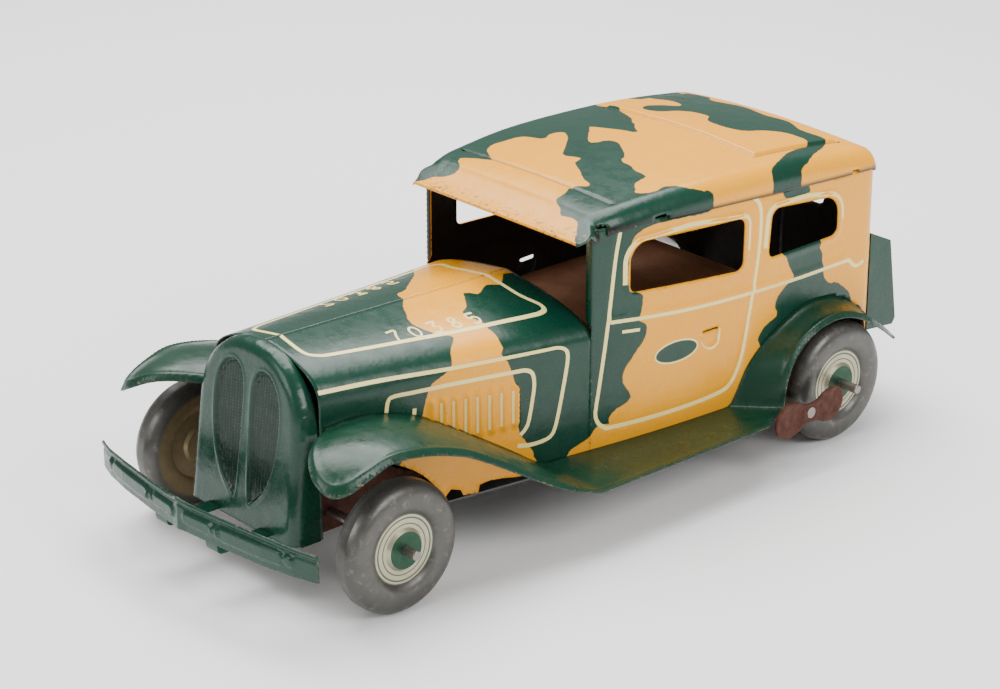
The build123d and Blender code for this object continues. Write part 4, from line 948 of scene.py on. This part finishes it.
def radiator_line():
    """Front outline of the radiator before it leans back, (x, z)."""
    right = [(GRILLE_W, GRILLE_Z - 1), (GRILLE_W - 0.2, 25), (GRILLE_W - 0.5, 36), (GRILLE_W - 1.0, 45),
             (20.6, 51.4), (17.6, 56.6), (12.8, 60.9), (6.6, 63.5), (0, GRILLE_TOP)]
    curve = smooth_path(right, step=0.7)
    return np.concatenate([curve, np.stack([-curve[-2::-1, 0], curve[-2::-1, 1]], -1)])


def grille_window():
    """One window of the grille: an arch on top, tapering to a point at the foot."""
    pts = [(1.7, 48), (2.0, 53.2), (3.6, 56.6), (6.4, 57.8), (9.6, 56.8), (12.3, 53.4), (13.5, 49),
           (13.7, 44), (13.2, 37.5), (11.6, 31), (8.8, 25.4), (5.6, 21.8), (3.4, 20.4), (2.6, 24),
           (2.1, 33), (1.8, 42)]
    return smooth_path(pts, closed=True, step=0.8)


def lean_back(verts):
    """Tilts the upright radiator about its foot and lifts any point that falls below the foot to its height.
    """
    dy, dz = verts[:, 1] - GRILLE_Y, verts[:, 2] - GRILLE_Z
    y = GRILLE_Y + dy * math.cos(GRILLE_RAKE) + dz * math.sin(GRILLE_RAKE)
    z = GRILLE_Z + dz * math.cos(GRILLE_RAKE) - dy * math.sin(GRILLE_RAKE)
    return np.stack([verts[:, 0], y, np.maximum(z, GRILLE_Z)], -1)


def radiator():
    """The radiator pressing: ribbed twin windows and a rounded shoulder that wraps back to the bonnet."""
    line = radiator_line()
    window = grille_window()
    twin = np.stack([-window[:, 0], window[:, 1]], -1)

    def fine(x, z):
        return (depth_in(window, x, z) > -1.6) | (depth_in(twin, x, z) > -1.6)

    flat, tris = triangulate(line, [], 0.42, fine)
    x, z = flat.T
    rim = distance_to(line, x, z)
    rim = np.where(z < GRILLE_Z + 4, np.minimum(rim, GRILLE_W - np.abs(x)), rim)
    short = np.maximum(GRILLE_ROUND - rim, 0)
    y = GRILLE_Y + GRILLE_ROUND - np.sqrt(np.maximum(GRILLE_ROUND ** 2 - short ** 2, 0))
    depth = np.maximum(depth_in(window, x, z), depth_in(twin, x, z))
    hollow = step_up(depth - 0.35, 0.8)
    ribs = 0.5 + 0.5 * np.cos(2 * math.pi * (np.abs(x) - RIB_X + 0.02 * (50 - z)) / RIB_PITCH)
    ribs = ribs * step_up(depth - 0.8, 0.6)
    y = y + 1.15 * hollow - 0.75 * ribs
    y = y - bead(depth + 0.3, 0.18, 0.5)
    front = np.stack([x, y, z], -1)
    to_nose = (NOSE_Y - GRILLE_Y - (line[:, 1] - GRILLE_Z) * math.sin(GRILLE_RAKE)) / math.cos(GRILLE_RAKE)
    back_rows = []
    for share in np.linspace(0, 1, SKIRT_ROWS):
        back = GRILLE_Y + GRILLE_ROUND + (to_nose - GRILLE_ROUND) * share
        back_rows.append(np.stack([line[:, 0], back, line[:, 1]], -1))
    skirt = np.concatenate(back_rows)
    faces = [tuple(t) for t in tris]
    faces += [tuple(i + len(front) for i in f) for f in grid_faces(SKIRT_ROWS, len(line))]
    verts = np.concatenate([front, skirt])

    def outward(c):
        if c[1] < GRILLE_Y + GRILLE_ROUND - 0.05:
            return np.array((0.0, -1.0, 0.0))
        return np.array((c[0], 0.0, max(c[2] - 40, 0)))

    faces = orient(verts, faces, outward)
    # painted shade: darker deep in the hollow grille windows, less on the rib crests
    painted_shade_and_seam_line = np.concatenate([0.75 * hollow * (1 - 0.6 * ribs), np.zeros(len(skirt))])
    edge = np.concatenate([np.full(len(front), 9.0), np.repeat(np.linspace(3, 0.1, SKIRT_ROWS), len(line))])
    obj = new_object("radiator_pressing", lean_back(verts), faces, [GREEN, INSIDE_SHADE],
                     {"edge": edge, "painted_shade_and_seam_line": painted_shade_and_seam_line})
    weld(obj)
    sheet_metal(obj)
    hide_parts("radiator")
    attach(obj, "body")
    return obj


def weld(obj, distance=0.03):
    """Joins points that lie together."""
    modifier = obj.modifiers.new("weld", "WELD")
    modifier.merge_threshold = distance * MM
    return obj


# ---- wings and running boards -----------------------------------------------------------
BOARD_Z = 18.2
BOARD_FRONT_Y, BOARD_REAR_Y = -16, 40
FRONT_RAILS = {
    20.0: [
        (-106, 30), (-100, 36.5), (-95, 40.5), (-86, 43.2), (-75, 44.0), (-62, 41.0), (-50, 34.6),
        (-35, 25.6), (-22.5, 18.9), (BOARD_FRONT_Y, BOARD_Z)],
    37.0: [
        (-106, 41.0), (-104.4, 42.6), (-98, 46.2), (-87, 47.6), (-75, 46.4), (-62, 42.6), (-50, 36.3),
        (-35, 26.8), (-22.5, 19.1), (BOARD_FRONT_Y, BOARD_Z)],
    57.0: [
        (-106, 20), (-98, 31.0), (-93, 36.0), (-86, 40.6), (-75, 39.8), (-62, 35.5), (-50, 30.0),
        (-35, 22.6), (-22.5, 18.5), (BOARD_FRONT_Y, BOARD_Z)],
}
REAR_RAILS = {
    37.0: [
        (42.0, BOARD_Z), (43.4, 18.4), (46.5, 22.5), (50, 28.0), (55.6, 32.8), (63.7, 37.7),
        (72.2, 41.2), (80, 41.9), (88, 40.2), (97, 35.0), (106, 27.0)],
    50.0: [
        (55.6, BOARD_Z), (56.6, 18.6), (57.3, 23.5), (59.2, 29.6), (63.1, 34.8), (68.7, 38.4),
        (75.5, 39.9), (82.6, 39.2), (89.5, 36.2), (97, 31.2), (108.4, 23.0)],
}
WING_X, BOARD_X = 49.0, 55.6


def evenly(path, count=60):
    """The path with a set number of points."""
    share = np.linspace(0, 1, count)
    return np.stack([np.interp(share, np.linspace(0, 1, len(path)), path[:, k]) for k in (0, 1)], -1)


def wing_height(x, y):
    """Height of the wings and the running board over the plan."""
    rails = [smooth_path(r, step=1.0) for r in FRONT_RAILS.values()]
    a, b, c = (np.interp(y, r[:, 0], r[:, 1]) for r in rails)
    x0, x1, x2 = FRONT_RAILS
    front = (a * (x - x1) * (x - x2) / ((x0 - x1) * (x0 - x2))
             + b * (x - x0) * (x - x2) / ((x1 - x0) * (x1 - x2))
             + c * (x - x0) * (x - x1) / ((x2 - x0) * (x2 - x1)))
    height = np.where(y < BOARD_FRONT_Y, front, BOARD_Z)
    first, second = (evenly(smooth_path(r, step=1.5)) for r in REAR_RAILS.values())
    x_inner, x_outer = REAR_RAILS
    rear = np.full(np.shape(x), BOARD_Z)
    for i in np.nonzero(y > BOARD_REAR_Y)[0]:
        t = (x[i] - x_inner) / (x_outer - x_inner)
        line = first * (1 - t) + second * t
        rear[i] = max(BOARD_Z, np.interp(y[i], line[:, 0], line[:, 1]))
    return np.where(y > BOARD_REAR_Y, rear, height)


def wing_outline():
    """Plan of one wing and its running board: outer edge, then the inner edge along the body."""
    lobe = smooth_path([(22.6, -88), (25.5, -92.6), (31, -98.8), (36.5, -103), (41, -104.4),
                        (45.2, -103.4), (48.0, -99.4), (48.9, -93), (WING_X, -84)], step=0.9)
    outer = [(WING_X, -62), (54.2, -24.2), (55.0, -22.6), (BOARD_X, -20.5), (BOARD_X, 43.2),
             (55.0, 44.6), (53.6, 45.9), (50.6, 54.5), (49.2, 56.5), (WING_X, 62), (WING_X, 86),
             (48.4, 94), (47.2, 100), (44.6, 108.2)]
    inner_y = np.linspace(100.5, -86, 150)
    inner = [(float(body_w(v)) + 0.12, float(v)) for v in inner_y]
    return straight_path([tuple(p) for p in lobe] + outer + inner, 1.0), lobe, outer


def wing(name, side):
    """Wings and running board of one side, pressed from one sheet with a beaded outer edge."""
    line, lobe, outer = wing_outline()
    rim_path = np.concatenate([lobe, np.array(outer)])

    def near_rim(x, y):
        return (distance_to(rim_path, x, y) < 2.4) | ((y > 42) & (y < 60))

    flat, tris = triangulate(line, [], 0.62, near_rim)
    x, y = flat.T
    rim = distance_to(rim_path, x, y)
    z = wing_height(x, y)
    on_wing = np.clip((z - BOARD_Z) / 4, 0, 1)
    z = z + bead(rim - 1.3, 0.5, 0.55) * (0.35 + 0.65 * on_wing) - 0.8 * step_up(0.7 - rim, 1.0) * on_wing
    inner = np.abs(x - body_w(np.clip(y, NOSE_Y, CORNER_START)))
    z = z + 0.9 * np.exp(-inner / 0.7) * (0.3 + 0.7 * on_wing)
    verts = np.stack([side * x, y, z], -1)
    faces = orient(verts, [tuple(t) for t in tris], lambda c: np.array((0.0, 0.0, 1.0)))
    obj = new_object(name + "_pressing", verts, faces, [GREEN_WORN, UNDER], {"edge": rim})
    sheet_metal(obj)
    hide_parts(name)
    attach(obj, "body")
    return obj


# ---- bumper -------------------------------------------------------------------------------
BUMPER_W, BUMPER_END_Y, BUMPER_TIP_Y = 46.7, -109.0, -118.0
BUMPER_ROWS, BUMPER_COLUMNS = 34, 261
EMBOSS_Z = 4.0                         # middle of the embossing, above the lower edge
ARM_X, ARM_HALF_W, ARM_T = 11.0, 2.5, 0.5
ARM_PATH = [(-115.4, 21.5), (-115.4, 17.2), (-114.6, 15.9), (-112, 15.6), (-98.1, 15.6)]


def bumper():
    """Front bumper: two embossed halves bent to a shallow point, with a rolled top edge."""
    xs = np.linspace(-BUMPER_W, BUMPER_W, BUMPER_COLUMNS)
    vs = np.linspace(0, 1, BUMPER_ROWS)
    grid_x, grid_v = np.meshgrid(xs, vs)
    a = np.abs(grid_x)
    line_y = np.interp(a, [0, 3, 15, 30, 40, BUMPER_W],
                       [BUMPER_TIP_Y, -117.3, -115.9, -113.6, -111.3, BUMPER_END_Y])
    low = np.interp(a, [0, 4, 30, BUMPER_W], [18.7, 18.5, 17.9, 17.6])
    high = np.interp(a, [0, 2, 5, 30, BUMPER_W], [27.9, 27.3, 26.9, 26.4, 25.1])
    z = low + (high - low) * grid_v
    tall = z - low
    relief = np.zeros_like(z)
    for start, end, half, rise in ((17, 35, 2.0, 0.75), (3.6, 11.5, 1.7, 0.75)):
        away = np.hypot(np.maximum(np.maximum(start - a, a - end), 0), tall - EMBOSS_Z)
        relief += rise * step_up(half - away, 1.2)
    for centre in (14.3, 38.6):
        relief += 0.8 * step_up(1.5 - np.hypot(a - centre, tall - EMBOSS_Z), 1.1)
    relief -= bead(high - z - 1.9, 0.35, 0.5)
    relief += bead(high - z - 0.7, 0.4, 0.6)
    end_round = np.maximum(a - (BUMPER_W - 3), 0)
    y = line_y - relief + 0.02 * end_round ** 2
    verts = np.stack([grid_x, y, z], -1).reshape(-1, 3)
    faces = orient(verts, grid_faces(BUMPER_ROWS, BUMPER_COLUMNS), lambda c: np.array((0.0, -1.0, 0.0)))
    edge = np.minimum(np.minimum(tall, high - z), BUMPER_W - a).reshape(-1)
    obj = new_object("front_bumper_pressing", verts, faces, [GREEN, UNDER], {"edge": edge})
    sheet_metal(obj, 0.5)
    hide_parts("front_bumper")
    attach(obj, "body")
    for side in (1, -1):
        centre = smooth_path([(side * ARM_X, y, z) for y, z in ARM_PATH], step=1.0)
        corners = ((-ARM_HALF_W, 0), (ARM_HALF_W, 0), (ARM_HALF_W, -ARM_T), (-ARM_HALF_W, -ARM_T))
        rows = [np.stack([centre[:, 0] + dx, centre[:, 1], centre[:, 2] + dz], -1) for dx, dz in corners]
        part = np.stack(rows, 1).reshape(-1, 3)
        last = 4 * (len(centre) - 1)
        caps = [(3, 2, 1, 0), (last, last + 1, last + 2, last + 3)]
        faces = [tuple(reversed(f)) for f in grid_faces(len(centre), 4, closed=True)] + caps
        strip = new_object("bumper_arm_" + ("left" if side > 0 else "right"), part, faces, [GREEN],
                           {"edge": np.full(len(part), 9.0)}, smooth=False)
        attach(strip, "body")


# ---- key ----------------------------------------------------------------------------------
KEY_Y, KEY_Z, KEY_X, KEY_T = 60.5, 17.3, 54.3, 0.9
KEY_HOLE_R = 1.35


def key():
    """Flat two-lobed winding key, rusted and a little bent, peened onto its arbor."""
    outline = smooth_path(
        [(2.4, 2.9), (5.6, 4.6), (10.0, 5.2), (13.2, 3.4), (13.9, 0.4), (12.4, -2.9), (9.0, -4.6),
         (5.4, -4.2), (2.2, -3.0), (-2.2, -3.0), (-5.4, -4.6), (-9.6, -5.4), (-13.0, -3.6),
         (-13.9, -0.2), (-12.8, 2.9),
         (-9.4, 4.6), (-5.4, 4.3), (-2.4, 2.9)], closed=True, step=0.6)
    turn = np.linspace(0, 2 * math.pi, 24, endpoint=False)
    hole = np.array([(KEY_HOLE_R * math.cos(a), KEY_HOLE_R * math.sin(a)) for a in turn])
    flat, tris = triangulate(outline, [hole], 0.6)
    y, z = flat.T
    rim = distance_to(outline, y, z, True)
    dome = 0.35 * step_up(rim - 1.2, 1.6) * (np.hypot(y, z) > 3.4)
    bend = 0.006 * np.maximum(y - 4, 0) ** 2
    x = KEY_X + KEY_T + 0.3 - dome - bend
    verts = np.stack([x, KEY_Y + y, KEY_Z + z], -1)
    faces = orient(verts, [tuple(t) for t in tris], lambda c: np.array((1.0, 0.0, 0.0)))
    obj = new_object("winding_key_plate", verts, faces, [RUST, RUST])
    sheet_metal(obj, KEY_T)
    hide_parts("winding_key")
    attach(obj, "key")
    return obj


# ---- the CAD pieces that stay ----------------------------------------------------------------
STAYING = {
    "base_plate": DARK_TIN, "inner_floor": FLOOR_RUST, "front_axle_bracket": RUST,
    "rear_trunk": GREEN_FLAT, "motor_plate_left": TINPLATE, "motor_plate_right": TINPLATE,
    "motor_pillars": STEEL, "mainspring": BLUED, "front_axle": STEEL, "rear_axle": STEEL,
    "winding_arbor": STEEL, "second_arbor": STEEL, "click_stud": STEEL, "ratchet_wheel": STEEL,
    "click": STEEL, "click_spring": BLUED, "great_wheel": BRASS, "second_wheel": BRASS,
    "second_pinion": BRASS, "axle_pinion": BRASS,
}


def paint_staying():
    """Gives every CAD node that stays its material."""
    for node, material in STAYING.items():
        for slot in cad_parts[node].material_slots:
            slot.material = material
    for end, axle in (("front", -AXLE_Y), ("rear", AXLE_Y)):
        outer = wheel_print(f"wheel_print_{end}", axle, True)
        inner = wheel_print(f"wheel_back_{end}", axle, False)
        for side in ("left", "right"):
            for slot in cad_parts[f"wheel_{end}_{side}_outer"].material_slots:
                slot.material = outer
            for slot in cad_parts[f"wheel_{end}_{side}_inner"].material_slots:
                slot.material = inner


body_half("body_left", 1)
body_half("body_right", -1)
lining_and_highlights(1)
lining_and_highlights(-1)
badge(1)
badge(-1)
roof()
radiator()
wing("wing_left", 1)
wing("wing_right", -1)
bumper()
key()
paint_staying()


# ---- studio ------------------------------------------------------------------------------------
SKY_STRENGTH = 0.40
LIGHTS = (                             # place and width in metres, power in watts
    ((-0.25, 0.15, 0.85), 0.8, 17.0),
    ((0.80, 0.10, 0.60), 0.5, 6.0),
    ((-0.1, -0.9, 0.55), 0.5, 4.0),
)


def studio():
    """Plain pale floor, and soft light from above and in front."""
    size = 3.0                         # metres from the middle of the floor to its edge
    mesh = bpy.data.meshes.new("floor")
    corners = [(-size, -size, 0), (size, -size, 0), (size, size, 0), (-size, size, 0)]
    mesh.from_pydata(corners, [], [(0, 1, 2, 3)])
    floor = bpy.data.objects.new("floor", mesh)
    bpy.context.collection.objects.link(floor)
    s = Shader("paper")
    mesh.materials.append(s.finish(s.mix(s.noise(3.0), (0.93, 0.93, 0.93), (0.95, 0.95, 0.95)), 0.9))
    world = bpy.data.worlds.new("studio") if bpy.context.scene.world is None else bpy.context.scene.world
    bpy.context.scene.world = world
    world.use_nodes = True
    world.node_tree.nodes["Background"].inputs["Color"].default_value = (1, 1, 1, 1)
    world.node_tree.nodes["Background"].inputs["Strength"].default_value = SKY_STRENGTH
    for i, (place, width, power) in enumerate(LIGHTS):
        data = bpy.data.lights.new(f"softbox_{i}", "AREA")
        data.size = width
        data.energy = power
        lamp = bpy.data.objects.new(f"softbox_{i}", data)
        lamp.location = place
        lamp.rotation_mode = "QUATERNION"
        lamp.rotation_quaternion = Vector((place[0], place[1], place[2] - 0.04)).to_track_quat("Z", "Y")
        bpy.context.collection.objects.link(lamp)


CAMERA_PLACE = (0.5511, -0.4957, 0.3433)
CAMERA_AZIMUTH, CAMERA_ELEVATION = 48.46, 22.42
LENS_MM, SENSOR_MM = 103.3, 36.0


def camera():
    """The camera, at the place the car was photographed from."""
    data = bpy.data.cameras.new("camera")
    data.lens = LENS_MM
    data.sensor_width = SENSOR_MM
    data.clip_start = 0.01
    cam = bpy.data.objects.new("camera", data)
    a, e = math.radians(CAMERA_AZIMUTH), math.radians(CAMERA_ELEVATION)
    back = Vector((math.sin(a) * math.cos(e), -math.cos(a) * math.cos(e), math.sin(e)))
    cam.location = CAMERA_PLACE
    cam.rotation_mode = "QUATERNION"
    cam.rotation_quaternion = back.to_track_quat("Z", "Y")
    bpy.context.collection.objects.link(cam)
    bpy.context.scene.camera = cam


studio()
camera()
